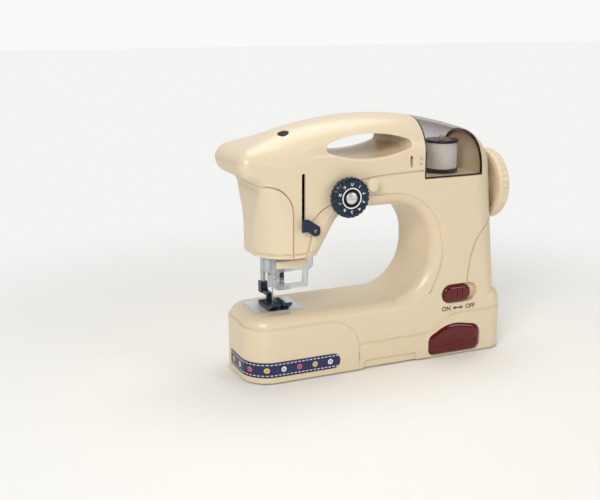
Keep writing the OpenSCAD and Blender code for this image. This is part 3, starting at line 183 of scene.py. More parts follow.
def install(made, body, slot, stands_for=(), angle=30.0, material=None):
    """Gives a finished piece its shading, its body, and the finish of the named record slot or one of its own.
    """
    soften(made, angle)
    made.data.materials.clear()
    made.data.materials.append(material or FINISH[slot])
    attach(made, body)
    if stands_for:
        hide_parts(*stands_for)
    print(made.name, len(made.data.polygons), "faces")
    return made


# %% [markdown]
# Most outlines on this machine are polygons with rounded corners. One function rounds them: each corner
# becomes an arc that touches both sides, and every point also keeps its outward direction and an edge radius,
# so that the same outline can be rolled over into a soft edge.

# %% Rounded outlines
TURN_STEP, LENGTH_STEP = 4.0, 3.0
STRAIGHT = math.radians(0.5)
FAR = 300.0


def corner_rows(a, b, c, turn_step=TURN_STEP):
    """Rows (u, v, nu, nv, extra) of the arc at corner b; its centre is set in by radius times the tangent of
    half the turn."""
    d1, d2 = (b[:2] - a[:2]), (c[:2] - b[:2])
    d1, d2 = d1 / np.linalg.norm(d1), d2 / np.linalg.norm(d2)
    turn = math.atan2(d1[0] * d2[1] - d1[1] * d2[0], d1 @ d2)
    out = np.array([d1[1], -d1[0]])
    if abs(turn) < STRAIGHT:
        return np.array([[b[0], b[1], out[0], out[1], b[3]]])
    bend, radius = math.copysign(1, turn), b[2]
    middle = b[:2] - d1 * radius * math.tan(abs(turn) / 2) - out * radius * bend
    k = np.linspace(0, turn, max(3, int(abs(math.degrees(turn)) / turn_step) + 2))
    v = np.stack([out[0] * np.cos(k) - out[1] * np.sin(k), out[0] * np.sin(k) + out[1] * np.cos(k)], axis=1)
    return np.column_stack([middle + v * radius * bend, v, np.full(len(k), b[3])])


def run_along(points):
    """Length along a line up to each of its points."""
    return np.concatenate([[0], np.cumsum(np.linalg.norm(np.diff(points, axis=0), axis=1))])


def outline_rows(corners, step=LENGTH_STEP, turn_step=TURN_STEP):
    """Rounded outline of corners (u, v, radius[, extra]), with points along the straights as well."""
    c = np.array([list(q) + [0] * (4 - len(q)) for q in corners], float)
    rows = np.concatenate([corner_rows(c[i - 1], c[i], c[(i + 1) % len(c)], turn_step)
                           for i in range(len(c))])
    ring = np.vstack([rows, rows[:1]])
    along = run_along(ring[:, :2])
    extra = np.concatenate([np.linspace(a, b, int((b - a) / step) + 1, endpoint=False)[1:]
                            for a, b in zip(along[:-1], along[1:])])
    at = np.sort(np.concatenate([along[:-1], extra]))
    at = at[np.concatenate([[True], np.diff(at) > 1e-4])]
    full = np.column_stack([np.interp(at, along, ring[:, k]) for k in range(5)])
    full[:, 2:4] /= np.linalg.norm(full[:, 2:4], axis=1, keepdims=True)
    return full


def outline(corners, step=1e9, turn_step=6.0):
    """Points of a rounded outline."""
    return outline_rows(corners, step, turn_step)[:, :2]


def box_corners(x0, z0, x1, z1, radius):
    """Corners of a rounded rectangle, from low left round to high left."""
    return [(x0, z0, radius), (x1, z0, radius), (x1, z1, radius), (x0, z1, radius)]


def slot_outline(u, v, w, h, steps=16):
    """A slot with half-round ends about (u, v)."""
    r, run = min(w, h) / 2, abs(w - h) / 2
    a = np.linspace(-90, 90, steps)
    a = np.radians(np.concatenate([a, a + 180]))
    p = np.column_stack([r * np.cos(a) + np.repeat([run, -run], steps), r * np.sin(a)])
    return (p if w > h else np.column_stack([-p[:, 1], p[:, 0]])) + [u, v]


def at_depth(xz, y):
    """Side-view points (x, z) at one depth, or at a depth for each."""
    xz = np.asarray(xz, float)
    return np.column_stack([xz[:, 0], np.broadcast_to(y, len(xz)), xz[:, 1]])


def prism_y(name, shape, y0, y1):
    """Carries a side view (x, z) along Y."""
    return loft(name, [at_depth(shape, y) for y in (y0, y1)])


def block(name, lo, hi):
    """A plain box between two corners."""
    side = [[lo[0], lo[2]], [hi[0], lo[2]], [hi[0], hi[2]], [lo[0], hi[2]]]
    return prism_y(name, side, lo[1], hi[1])


def revolve(name, profile, axis, centre, count=96, ripple=None, ring=False):
    """Turns a profile (along, radius) round an axis, with flat ends or closed into a ring that doesn't reach
    the axis; ripple(along, radius, angle) may change the radius."""
    along, radius = np.asarray(profile, float).T
    angle = np.linspace(0, 2 * np.pi, count, endpoint=False)
    a, r = np.meshgrid(angle, radius)
    t = np.repeat(along[:, None], count, axis=1)
    r = r if ripple is None else ripple(t, r, a)
    first, second = r * np.cos(a), r * np.sin(a)
    parts = {"x": (t, first, second), "y": (first, t, second), "z": (first, second, t)}[axis]
    return loft(name, np.stack(parts, axis=-1) + np.asarray(centre, float), ring)


ring_solid = partial(revolve, ring=True)


def rod(name, axis, lo, hi, centre, radius, count=48):
    """A plain round tool along an axis."""
    return revolve(name, [[lo, radius], [hi, radius]], axis, centre, count)


def sweep(name, path, radius, sides=10, up=(0, 1, 0)):
    """A round tube along a path: rings stand square to the path, turned by a fixed up direction."""
    path, up = np.asarray(path, float), np.asarray(up, float)
    t = np.gradient(path, axis=0)
    t /= np.linalg.norm(t, axis=1, keepdims=True)
    u = up - t * (t @ up)[:, None]
    u /= np.linalg.norm(u, axis=1, keepdims=True)
    v = np.cross(t, u)
    a = np.linspace(0, 2 * np.pi, sides, endpoint=False)[:, None]
    r = np.broadcast_to(np.asarray(radius, float), (len(path),))[:, None, None]
    return loft(name, path[:, None] + r * (u[:, None] * np.cos(a) + v[:, None] * np.sin(a)))


def curve_through(points, step=1.0):
    """A smooth line through points: each span is a cubic with the neighbours' chord as its end slope."""
    p = np.asarray(points, float)
    p = np.vstack([2 * p[0] - p[1], p, 2 * p[-1] - p[-2]])
    out = []
    for k in range(1, len(p) - 2):
        a, b, c, d = p[k - 1:k + 3]
        t = np.linspace(0, 1, max(3, int(np.linalg.norm(c - b) / step) + 1), endpoint=False)[:, None]
        square, cube = 2 * a - 5 * b + 4 * c - d, 3 * b - a - 3 * c + d
        out.append(0.5 * (2 * b + (c - a) * t + square * t ** 2 + cube * t ** 3))
    return np.vstack(out + [p[-2:-1]])


# %% [markdown]
# A finish is more than a colour. Moulded plastic has a faint cloudiness and a very fine texture from the
# mould; metal shows drawn lines. Each effect is one node group with named sockets, built once and placed in
# every material with its own values.

# %% Shader groups
CLOUDS, FLECKS, GRAINS = 26, 330, 1900
DRAWN_UP, TURNED, CAST = (1.0, 1.0, 0.06), (0.06, 1.0, 1.0), (0.6, 0.6, 0.6)
DRAWN_LINES, BLOTCHES = 900, 60
GRAIN_DEPTH, DRAWN_DEPTH, COAT_ROUGH = 0.00012, 0.00005, 0.08


def srgb(code):
    """Linear colour of a hex code."""
    c = np.array([int(code[k:k + 2], 16) for k in (1, 3, 5)]) / 255
    return tuple(np.where(c <= 0.04045, c / 12.92, ((c + 0.055) / 1.055) ** 2.4)) + (1.0,)


def group(name, inputs, outputs):
    """An empty shader group: its tree, what comes in by name, and the node that takes what goes out."""
    tree = bpy.data.node_groups.new(name, "ShaderNodeTree")
    for way, sockets in (("INPUT", inputs), ("OUTPUT", outputs)):
        for title, kind in sockets.items():
            tree.interface.new_socket(title, in_out=way, socket_type="NodeSocket" + kind)
    return tree, tree.nodes.new("NodeGroupInput").outputs, tree.nodes.new("NodeGroupOutput")


def put(node, key, value):
    """Links an input to a socket, or sets it to a plain value."""
    if isinstance(value, bpy.types.NodeSocket):
        node.id_data.links.new(value, node.inputs[key])
    else:
        node.inputs[key].default_value = value


def feed(node, **values):
    """Puts values to a node's inputs by name; an underscore in a name stands for a space."""
    for title, value in values.items():
        put(node, title.replace("_", " "), value)
    return node


def add(tree, kind, **values):
    """A new shader node with some of its inputs fed."""
    return feed(tree.nodes.new("ShaderNode" + kind), **values)


def math_node(tree, how, *values):
    """A math node fed by sockets or numbers; returns its output."""
    made = add(tree, "Math")
    made.operation = how
    for k, value in enumerate(values):
        put(made, k, value)
    return made.outputs[0]


def map_range(tree, value, source, target=(0.0, 1.0), way="LINEAR"):
    """Carries a value from one range to another; returns the output."""
    made = add(tree, "MapRange", Value=value, From_Min=source[0], From_Max=source[1], To_Min=target[0],
               To_Max=target[1])
    made.interpolation_type = way
    return made.outputs["Result"]


def noise(tree, vector, scale, detail=2.0, rough=0.5):
    """Noise of a given number of spots per metre."""
    return add(tree, "TexNoise", Vector=vector, Scale=scale, Detail=detail, Roughness=rough).outputs["Fac"]


def tinted(tree, colour, amount):
    """Colour times a factor."""
    made = add(tree, "VectorMath")
    made.operation = "SCALE"
    put(made, 0, colour)
    feed(made, Scale=amount)
    return made.outputs[0]


EFFECT_IN = {"Vector": "Vector", "Color": "Color", "Roughness": "Float"}
EFFECT_OUT = {"Color": "Color", "Roughness": "Float", "Height": "Float"}


def moulded_group():
    """Cloudiness of 40 mm, flecks of 3 mm and a texture of half a millimetre, on colour, gloss and height."""
    tree, i, o = group("moulded_skin", EFFECT_IN | {"Cloud": "Float", "Gloss Spread": "Float"}, EFFECT_OUT)
    m = partial(math_node, tree)
    cloud = noise(tree, i["Vector"], CLOUDS, 3)
    fleck = noise(tree, i["Vector"], FLECKS, 2)
    grain = noise(tree, i["Vector"], GRAINS, 1)
    mixed = m("ADD", m("MULTIPLY", cloud, 1.5), m("MULTIPLY", fleck, 0.5))
    swing = m("MULTIPLY", m("SUBTRACT", mixed, 1.0), i["Cloud"])
    gloss = m("MULTIPLY", m("SUBTRACT", fleck, 0.5), i["Gloss Spread"])
    feed(o, Color=tinted(tree, i["Color"], m("ADD", swing, 1.0)), Roughness=m("ADD", gloss, i["Roughness"]),
         Height=grain)
    return tree


def drawn_group():
    """Fine drawn lines: noise squeezed along one direction by the vector that comes in."""
    tree, i, o = group("drawn_metal", EFFECT_IN, EFFECT_OUT)
    m = partial(math_node, tree)
    line = noise(tree, i["Vector"], DRAWN_LINES, 3, 0.6)
    blotch = noise(tree, i["Vector"], BLOTCHES, 2)
    swing = m("ADD", m("MULTIPLY", line, 0.16), m("MULTIPLY", blotch, 0.1))
    feed(o, Color=tinted(tree, i["Color"], m("ADD", swing, 0.87)),
         Roughness=m("MULTIPLY_ADD", line, 0.18, i["Roughness"]), Height=line)
    return tree


MOULDED, DRAWN = moulded_group(), drawn_group()


def start_material(name):
    """A material with its tree, its Principled shader and the coordinates by name."""
    made = bpy.data.materials.new(name)
    made.use_nodes = True
    tree = made.node_tree
    return made, tree, tree.nodes["Principled BSDF"], add(tree, "TexCoord").outputs


def dress(shader, effect, **values):
    """Places an effect group and feeds its colour and gloss to the shader; returns its height."""
    made = add(shader.id_data, "Group")
    made.node_tree = effect
    feed(made, **values)
    feed(shader, Base_Color=made.outputs["Color"], Roughness=made.outputs["Roughness"])
    return made.outputs["Height"]


def bump(tree, shader, height, strength, depth):
    """Feeds a height to the shader's normal; depth is in metres."""
    made = add(tree, "Bump", Height=height, Strength=strength, Distance=depth)
    feed(shader, Normal=made.outputs["Normal"])


def plastic(name, code, rough=0.34, cloud=0.06, spread=0.1, grain=0.12, coat=0.0, specular=0.5):
    """Moulded plastic of one colour."""
    made, tree, shader, coords = start_material(name)
    height = dress(shader, MOULDED, Vector=coords["Object"], Color=srgb(code), Cloud=cloud,
                   Roughness=rough, Gloss_Spread=spread)
    feed(shader, Specular_IOR_Level=specular, Coat_Weight=coat, Coat_Roughness=COAT_ROUGH)
    bump(tree, shader, height, grain, GRAIN_DEPTH)
    return made


def metal(name, code, rough, squeeze):
    """Drawn or turned metal; the squeeze lengthens the lines along one axis."""
    made, tree, shader, coords = start_material(name)
    turned = add(tree, "Mapping", Vector=coords["Object"], Scale=squeeze)
    height = dress(shader, DRAWN, Vector=turned.outputs["Vector"], Color=srgb(code), Roughness=rough)
    feed(shader, Metallic=1.0)
    bump(tree, shader, height, 0.15, DRAWN_DEPTH)
    return made


def clear_plastic(name, code, rough, through, alpha, edge=0.0):
    """See-through plastic with a little cloudiness in its gloss; alpha grows by edge where it turns away."""
    made, tree, shader, coords = start_material(name)
    dress(shader, MOULDED, Vector=coords["Object"], Color=srgb(code), Cloud=0.1, Roughness=rough,
          Gloss_Spread=0.05)
    away = add(tree, "LayerWeight", Blend=0.4).outputs["Facing"]
    fuller = math_node(tree, "MULTIPLY_ADD", away, edge, alpha)
    feed(shader, Transmission_Weight=through, IOR=1.46, Alpha=fuller)
    return made


# %% [markdown]
# Every record slot has one finish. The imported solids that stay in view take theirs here, and the pieces that
# are made below take them from the same table.

# %% Materials by record slot
FINISH = {
    "cream": plastic("cream_moulding", "#E0CFB2", 0.3, 0.02, 0.02, 0.012),
    "cream_inner": plastic("cream_inside", "#D9C7A8", 0.55, 0.08, 0.12, 0.2),
    "navy": plastic("navy_gloss", "#122539", 0.26, 0.1, 0.06, 0.03, specular=0.4),
    "strip_blue": plastic("strip_film", "#1B2450", 0.3, 0.1, 0.08, 0.05),
    "red": plastic("red_gloss", "#5E0A12", 0.16, 0.12, 0.04, 0.01, coat=0.3, specular=0.3),
    "smoked": clear_plastic("smoked_lid", "#50291A", 0.05, 0.0, 0.04, 0.5),
    "clear": clear_plastic("clear_guard", "#C9D3D8", 0.1, 0.7, 0.6),
    "steel": metal("drawn_steel", "#C4C7CA", 0.32, DRAWN_UP),
    "bright": metal("bright_plate", "#E2E4E6", 0.34, TURNED),
    "motor_can": metal("zinc_can", "#A4A7AA", 0.32, TURNED),
    "alloy": metal("cast_alloy", "#BFC1C4", 0.4, CAST),
    "brass": metal("turned_brass", "#C79A4B", 0.28, TURNED),
    "gear_white": plastic("gear_white", "#E8E7E0", 0.45),
    "black": plastic("black_matt", "#101012", 0.55, 0.2, 0.15, 0.25, specular=0.25),
    "board_green": plastic("board_green", "#1F6B3E", 0.4, 0.2),
    "belt_rubber": plastic("belt_rubber", "#121212", 0.75, 0.25, 0.1, 0.5),
    "foot_rubber": plastic("foot_rubber", "#242424", 0.8, 0.25, 0.1, 0.5),
    "beige": plastic("beige_pin", "#D8C092", 0.4),
    "thread": plastic("thread_white", "#F6F5F2", 0.8, 0.05, 0.1, 0.5, specular=0.25),
}
INK_WHITE = plastic("ink_white", "#EDEFF0", 0.5, 0.03, 0.05, 0.0)
INK_BLACK = plastic("ink_black", "#191817", 0.5, 0.1, 0.05, 0.0)
# Near-black lid rim: painted shade for the shadow in the seam round the lid, and the dark of the sheet seen
# lengthwise.
LID_RIM_SHADE = plastic("lid_rim_painted_shade", "#1C0F0A", 0.2, 0.1, 0.05, 0.0)
for row in frame["record"]["subparts"]:
    dressed = nodes[row["node"]]
    dressed.data.materials.clear()
    dressed.data.materials.append(FINISH[row["material_slot"]])
print("finishes:", len(FINISH))

# %% [markdown]
# Studio light for glossy plastic is large and soft: a big window of light on the left, a weaker one on the
# right and one from above. The world adds an even base light, and shows as white to the camera. What a gloss
# mirrors differs from both: the backdrop behind the machine is bright, and the studio in front of it is dim.
# The floor is white paper that fades into the backdrop with distance.

# %% Lamps, world and floor
LAMP_AIM = Vector((0, 0, 0.1))
BASE_LIGHT, BACKDROP = 0.3, 0.95
BEHIND_Y, BEHIND_LIGHT = (0.1, 0.8), (-0.16, 0.45)
FLOOR_REACH, FLOOR_FADE = 6000.0, (0.16, 0.55)


def lamp(name, place, size, watts, tint=(1.0, 1.0, 1.0)):
    """A square soft box of a given side that looks at the machine."""
    light = bpy.data.lights.new(name, "AREA")
    light.size, light.energy, light.color = size, watts, tint
    box = bpy.data.objects.new(name, light)
    box.location = place
    box.rotation_euler = (LAMP_AIM - Vector(place)).to_track_quat("-Z", "Y").to_euler()
    scene.collection.objects.link(box)


lamp("key_box", (-0.75, -0.75, 0.75), 0.5, 8.5, (1.0, 0.98, 0.95))
lamp("fill_box", (0.75, -0.95, 0.5), 0.5, 2.6)
lamp("top_box", (0.15, 0.2, 1.15), 0.7, 6)

world = bpy.data.worlds.new("studio")
scene.world = world
world.use_nodes = True
tree = world.node_tree
ray = add(tree, "LightPath").outputs
way = add(tree, "SeparateXYZ", Vector=add(tree, "TexCoord").outputs["Generated"])
seen = math_node(tree, "MAXIMUM", ray["Is Camera Ray"], ray["Is Transmission Ray"])
level = map_range(tree, seen, (0.0, 1.0), (BASE_LIGHT, BACKDROP))
mirrored = map_range(tree, way.outputs["Y"], BEHIND_Y, BEHIND_LIGHT)
strength = math_node(tree, "MULTIPLY_ADD", ray["Is Glossy Ray"], mirrored, level)
feed(tree.nodes["Background"], Color=(1, 1, 1, 1), Strength=strength)

square = FLOOR_REACH * np.array([[-1, -1, 0], [1, -1, 0], [1, 1, 0], [-1, 1, 0]])
floor = new_mesh("studio_floor", square - SHIFT, [[0, 1, 2, 3]])
paper = plastic("floor_paper", "#F3F1EC", 0.9, 0.01, 0.02, 0.0, specular=0.1)
tree = paper.node_tree
far = add(tree, "VectorMath")
far.operation = "LENGTH"
put(far, 0, tree.nodes["Texture Coordinate"].outputs["Object"])
fade = map_range(tree, far.outputs["Value"], FLOOR_FADE, way="SMOOTHSTEP")
mix = add(tree, "MixShader")
glow = add(tree, "Emission", Color=(0.9, 0.9, 0.89, 1))
put(mix, 0, math_node(tree, "MULTIPLY", fade, add(tree, "LightPath").outputs["Is Camera Ray"]))
put(mix, 1, tree.nodes["Principled BSDF"].outputs[0])
put(mix, 2, glow.outputs[0])
feed(tree.nodes["Material Output"], Surface=mix.outputs[0])
floor.data.materials.append(paper)

# %% [markdown]
# The casing is two moulded shells and a face cover. Seen from the front its outline is a letter C on its
# side: column, arm, nose, head and throat. The skin rolls from the front plane over a soft edge to the
# outline, and the edge's radius differs along the outline: wide over the arm, small in the throat. Around the
# throat the roll starts with a faint crease, as the mould has it.

# %% The casing's outline and roll
HALF_D, WALL = 32.0, 2.2
HEAD_Z, BED_Z, LID_Z = 97.0, 52.0, 149.0
HEAD_LEFT, HEAD_RIGHT, THROAT_Z, COLUMN_X, TRIM_X = -100, -55.5, 130, 44, -47.5
ARM_X, ARM_TOP, ARM_R, ARM_DEG = -6, 199, 270, 18.8
NOSE_LEFT, NOSE_R, NOSE_DEG = -117, 12, 25
THROAT_E, CREASE, BLEND = 10, 24.0, 9.0
ARM_TILT = math.radians(ARM_DEG)
VERTEX_Z = ARM_TOP + ARM_R * (1 / math.cos(ARM_TILT) - 1)


def slope_z(x):
    """Height of the two straight lines that the arm's long curve touches."""
    return VERTEX_Z - math.tan(ARM_TILT) * abs(x - ARM_X)


NOSE_TAN = NOSE_R * math.tan(math.radians((180 - NOSE_DEG - ARM_DEG) / 2))
NOSE_X = NOSE_LEFT + NOSE_R - math.cos(ARM_TILT) * NOSE_TAN - math.sin(ARM_TILT) * NOSE_R
NECK_Z = slope_z(NOSE_X) - math.tan(math.radians(NOSE_DEG)) * (HEAD_LEFT - NOSE_X)
THROAT_X = HEAD_RIGHT + (THROAT_Z - HEAD_Z + 3) / math.tan(math.radians(60))
BODY = outline_rows([
    (-20, 12, 16, 12), (111, 12, 16, 12), (103, slope_z(103), 34, 26), (ARM_X, VERTEX_Z, ARM_R, 28),
    (NOSE_X, slope_z(NOSE_X), NOSE_R, 8), (HEAD_LEFT, NECK_Z, 8, 8), (HEAD_LEFT, NECK_Z - 26, 8, 26),
    (HEAD_LEFT, HEAD_Z - 56, 30, 26), (HEAD_RIGHT, HEAD_Z - 56, 16, THROAT_E),
    (HEAD_RIGHT, HEAD_Z - 3, 8, THROAT_E), (THROAT_X, THROAT_Z, 22, THROAT_E),
    (COLUMN_X, THROAT_Z, 34, THROAT_E), (COLUMN_X, BED_Z - 0.3, 38, THROAT_E),
    (-20, BED_Z - 0.3, 16, THROAT_E)])


def blended(rows):
    """Edge radius as a mean along the outline, with weights exp(-(d/BLEND)^2/2); the throat keeps its own."""
    step = np.linalg.norm(np.roll(rows[:, :2], -1, axis=0) - rows[:, :2], axis=1)
    at, whole = np.cumsum(step) - step, step.sum()
    far = np.abs(at[:, None] - at[None])
    weight = np.exp(-0.5 * (np.minimum(far, whole - far) / BLEND) ** 2) * 0.5 * (step + np.roll(step, 1))
    return np.where(np.isclose(rows[:, 4], THROAT_E), rows[:, 4], weight @ rows[:, 4] / weight.sum(1))


BODY[:, 4] = blended(BODY)


def body_ring(side, share, grow=0.0):
    """One ring of the roll. At share 0 it lies in the front plane, set in by the edge radius e; at share 1 it
    is the outline. Inset = e(1-sin a)/(1-sin a0), drop = e(cos a0-cos a)/cos a0; a0 is the crease, which only
    the throat's outer skin has."""
    e = BODY[:, 4] + grow
    a0 = np.radians(np.where(np.isclose(BODY[:, 4], THROAT_E), CREASE if grow == 0 else 0, 0))
    a = a0 + (np.pi / 2 - a0) * share
    inset = e * (1 - np.sin(a)) / (1 - np.sin(a0)) - grow
    drop = e * (np.cos(a0) - np.cos(a)) / np.cos(a0)
    return at_depth(BODY[:, :2] - BODY[:, 2:4] * inset[:, None], side * (HALF_D + grow - drop))


def body_solid(name, grow=0.0, steps=12, trim=HEAD_Z):
    """The closed roll from rear plane to front plane, cut off level under the head."""
    share = np.linspace(0, 1, steps + 1)
    made = loft(name, [body_ring(1, s, grow) for s in share] + [body_ring(-1, s, grow) for s in share[::-1]])
    if trim is None:
        return made
    return carve(made, cut(block("trim", (-FAR, -FAR, -FAR), (TRIM_X, FAR, trim))))


def front_y(xz):
    """Depth of the front skin over points (x, z): from the distance s to the outline, sin a = 1 - s/e."""
    xz = np.atleast_2d(np.asarray(xz, float))
    gap = np.linalg.norm(xz[:, None] - BODY[None, :, :2], axis=2)
    e = BODY[gap.argmin(1), 4]
    a = np.arcsin(np.clip(1 - gap.min(1) / e, 0, 1))
    return -(HALF_D - e * (1 - np.cos(a)))


BASE_LEFT, BASE_RIGHT, BASE_D, BED_EDGE = -111, 115, 32.2, 9.0
PLAN = outline_rows([(BASE_LEFT, -BASE_D, 20), (BASE_RIGHT, -BASE_D, 14), (BASE_RIGHT, BASE_D, 14),
                     (BASE_LEFT, BASE_D, 20)])


def base_ring(grow, inset, z):
    """The base's plan at one height, grown or set in along its outward directions."""
    return np.column_stack([PLAN[:, :2] - PLAN[:, 2:4] * (inset - grow), np.full(len(PLAN), z)])


def base_solid(name, grow=0.0, steps=12, low=1.5):
    """The base: upright walls and a quarter-round edge to the bed."""
    e, edge_z = BED_EDGE + min(grow, 0), BED_Z - BED_EDGE
    return loft(name, [base_ring(grow, 0, low)]
                + [base_ring(grow, e * (1 - math.cos(k)), edge_z + e * math.sin(k))
                   for k in np.linspace(0, np.pi / 2, steps + 1)])


print("outline points:", len(BODY), "plan points:", len(PLAN))

# %% [markdown]
# The carrying slot goes through the arm. Its rim is rounded so that it is kind to fingers: the tool that cuts
# it flares out near both faces, like two trumpets put together, and a shallow scoop lies at its left end.

# %% The casing as one body
HANDLE = (-13.5, 177.3, 71.0, 18.4)
TIP_R, RIM_R = 4.0, 1.6
SCOOP_X, SCOOP_Z, SCOOP_RUN, SCOOP_R, SCOOP_IN = (-66, -42), 176.0, 10, 5.0, 1.6
PANEL_Z, LEFT_STEP, LOWER_STEP = 44.0, 1.2, 0.7
ZONE_LEFT = [(-FAR, -FAR, 1), (-21, -FAR, 1), (-21, PANEL_Z, 26), (-FAR, PANEL_Z, 1)]
ZONE_LOWER = [(-22, -FAR, 1), (FAR, -FAR, 1), (FAR, 36, 1), (64, 36, 16), (46, 22, 16), (-22, 22, 1)]
BAR_X, SHAFT_Z, PIN = -80.95, 135.5, (-76.5, -12, 0)


def lens(u, v, w, h, tip, grow=0.0, n=24):
    """Two long arcs and two small tips that touch them: r = ((w/2-tip)^2 + (h/2)^2 - tip^2) / (h - 2 tip)."""
    a, b = w / 2 - tip, h / 2
    r = (a * a + b * b - tip * tip) / (2 * (b - tip))
    e = math.pi / 2 - math.atan2(a, r - b)
    arcs = [(a, 0, tip, -e, e), (0, b - r, r, e, math.pi - e), (-a, 0, tip, math.pi - e, math.pi + e),
            (0, r - b, r, math.pi + e, 2 * math.pi - e)]
    parts = []
    for x, z, radius, start, end in arcs:
        t, far = np.linspace(start, end, n, endpoint=False), radius + grow
        parts.append(np.column_stack([u + x + far * np.cos(t), v + z + far * np.sin(t)]))
    return np.vstack(parts)


def trumpet(name, shape, half, rim, steps=7):
    """A through tool whose section grows near both faces: rim - sqrt(rim^2 - (rim-d)^2) at depth d."""
    depth = np.linspace(0, rim, steps)
    grow = rim - np.sqrt(np.maximum(rim ** 2 - (rim - depth) ** 2, 0))
    ys = np.concatenate([[-half - 9], -half + depth, half - depth[::-1], [half + 9]])
    gs = np.concatenate([grow[:1], grow, grow[::-1], grow[:1]])
    return loft(name, [at_depth(lens(*shape, TIP_R, g), y) for y, g in zip(ys, gs)])


def panel(name, grow, zone):
    """The base, grown a little and kept only inside a side-view zone: a raised panel."""
    return carve(base_solid(name, grow), keep(prism_y("zone", outline(zone), -FAR, FAR)))


casing = body_solid("casing")
hollow = carve(body_solid("hollow", -WALL, 8, HEAD_Z + WALL), join(base_solid("hollow_base", -WALL, 6, -50)))
carve(casing,
      join(base_solid("base")),
      join(panel("left_panel", LEFT_STEP, ZONE_LEFT)),
      join(panel("lower_panel", LOWER_STEP, ZONE_LOWER)),
      cut(hollow))
scoop_x = np.linspace(*SCOOP_X, 25)
scoop_xz = np.column_stack([scoop_x, np.full(len(scoop_x), SCOOP_Z)])
sink = SCOOP_IN * np.clip((scoop_x - SCOOP_X[0]) / SCOOP_RUN, 0, 1)
scoop = at_depth(scoop_xz, front_y(scoop_xz) - SCOOP_R + sink)
carve(casing,
      join(carve(body_solid("sleeve"), keep(prism_y("ring", lens(*HANDLE, TIP_R, WALL), -HALF_D, HALF_D)))),
      cut(trumpet("carry", HANDLE, HALF_D, RIM_R)),
      cut(sweep("scoop", scoop, SCOOP_R, 32)),
      cut(block("bar_way", (BAR_X - 6, -6, HEAD_Z - 1), (BAR_X + 6, 26, HEAD_Z + 4))),
      cut(rod("bed_hole", "z", 43, 53, (BAR_X, 0, 0), 7)),
      cut(rod("shaft_hole", "x", 90, 120, (0, 0, SHAFT_Z), 3.5)),
      cut(rod("pin_hole", "z", 160, FAR, PIN, 4.35)))
print("casing faces:", len(casing.data.polygons))

# %% [markdown]
# Lines in a moulding are grooves left where two parts or two surfaces meet. Each is a thin round tool swept
# along a path that lies on the skin, and cut away. The face cover's edge gets the same tool on both sides, so
# the two pieces meet in a small rounded valley.

# %% Grooves on the front
LINE_R, LINE_IN = 0.85, 0.45
COVER_X, COVER_LOW = -76.4, 53
CORNER_X, CORNER_Y = -91, -12.2
OFF_STEP = 0.07
LOWER_Y = -32.9
GROOVES = {
    "arm_line": [(-34, 150.6), (-21.6, 152.5), (-5.5, 154.4), (12, 155.2), (33.2, 155.9)],
    "column_line": [(77.2, 62), (77.6, 68), (78.6, 76), (80.6, 86), (84, 95), (89.5, 103), (95.5, 108.5),
                    (103, 113)],
    "head_line": [(-61.5, 121.5), (-62.2, 112), (-64.2, 104), (-66, 97.5)],
    "throat_line": [(-61.5, 124), (-55, 130.5), (-47, 135), (-30, 138.6), (0, 140), (21, 137.2), (36, 129),
                    (46, 117), (50, 107), (53, 90), (51.6, 78), (47.5, 66), (42, 55.5)],
    "lip_line": [(-57.5, 100.2), (-70, 100), (-84, 100), (-93, 100), (-98, 100), (-99.7, 100)],
}


def cover_corners(by=0.0):
    """The face cover's side view, grown or shrunk by a seam."""
    x, z = COVER_X + by, NECK_Z + by
    return [(-FAR, COVER_LOW, 1), (x, COVER_LOW, 1), (x, z, 22), (-FAR, z, 1)]


def on_skin(line):
    """Carries a side-view line onto the front skin, sunk a little."""
    return at_depth(line, front_y(line) + LINE_IN)


def base_y(z, grow):
    """Depth of the base's front at a height: its edge rolls in by e(1-cos a), sin a = (z - bed + e)/e."""
    sine = np.clip((z - BED_Z + BED_EDGE) / BED_EDGE, 0, 1)
    return -(BASE_D + grow - BED_EDGE * (1 - np.sqrt(1 - sine ** 2)))


lines = {name: on_skin(curve_through(points)) for name, points in GROOVES.items()}
edge = outline(cover_corners(), 1.5, 3.0)
lines["cover_line"] = on_skin(edge[(edge[:, 0] > -99.6) & (edge[:, 1] > 96.4)])

# The panel's line lies just beside the panel's step, and its sink fades out towards the floor.
edge = outline(ZONE_LEFT, 1.5, 3.0)
edge = edge[(edge[:, 0] > -90.9) & (edge[:, 1] > 2.2)]
sink = LINE_IN * np.clip((edge[:, 1] - 16) / 10, 0, 1)
straight = at_depth(edge + [OFF_STEP, 0], base_y(edge[:, 1], LEFT_STEP) + sink)
straight = straight[np.argsort(-straight[:, 1] + 0.001 * straight[:, 0])][::-1]
corner = PLAN[(PLAN[:, 0] <= CORNER_X) & (PLAN[:, 1] < 20)]
corner = corner[np.argsort(np.arctan2(corner[:, 1] - CORNER_Y, CORNER_X - corner[:, 0]))]
out = LEFT_STEP - (BASE_D + base_y(PANEL_Z, 0)) - LINE_IN
corner = np.column_stack([corner[:, :2] + corner[:, 2:4] * out, np.full(len(corner), PANEL_Z)])
lines["panel_line"] = np.vstack([straight, corner])
lower_xz = curve_through([(-20.4, 22), (0, 22), (30, 22), (41, 22.4), (47, 24.8), (55, 30.5), (60, 33.9),
                          (66, 36), (80, 36), (100, 36)])
lines["lower_line"] = at_depth(lower_xz, LOWER_Y + LINE_IN)
carve(casing, *[cut(sweep(name, path, LINE_R)) for name, path in lines.items()])

# %% [markdown]
# One body becomes three pieces. Each is a copy, kept on its own side of the parting plane or of the cover's
# seam, and then the ways for switch, lever, dial, drawer, lid and screws are cut where they are needed.

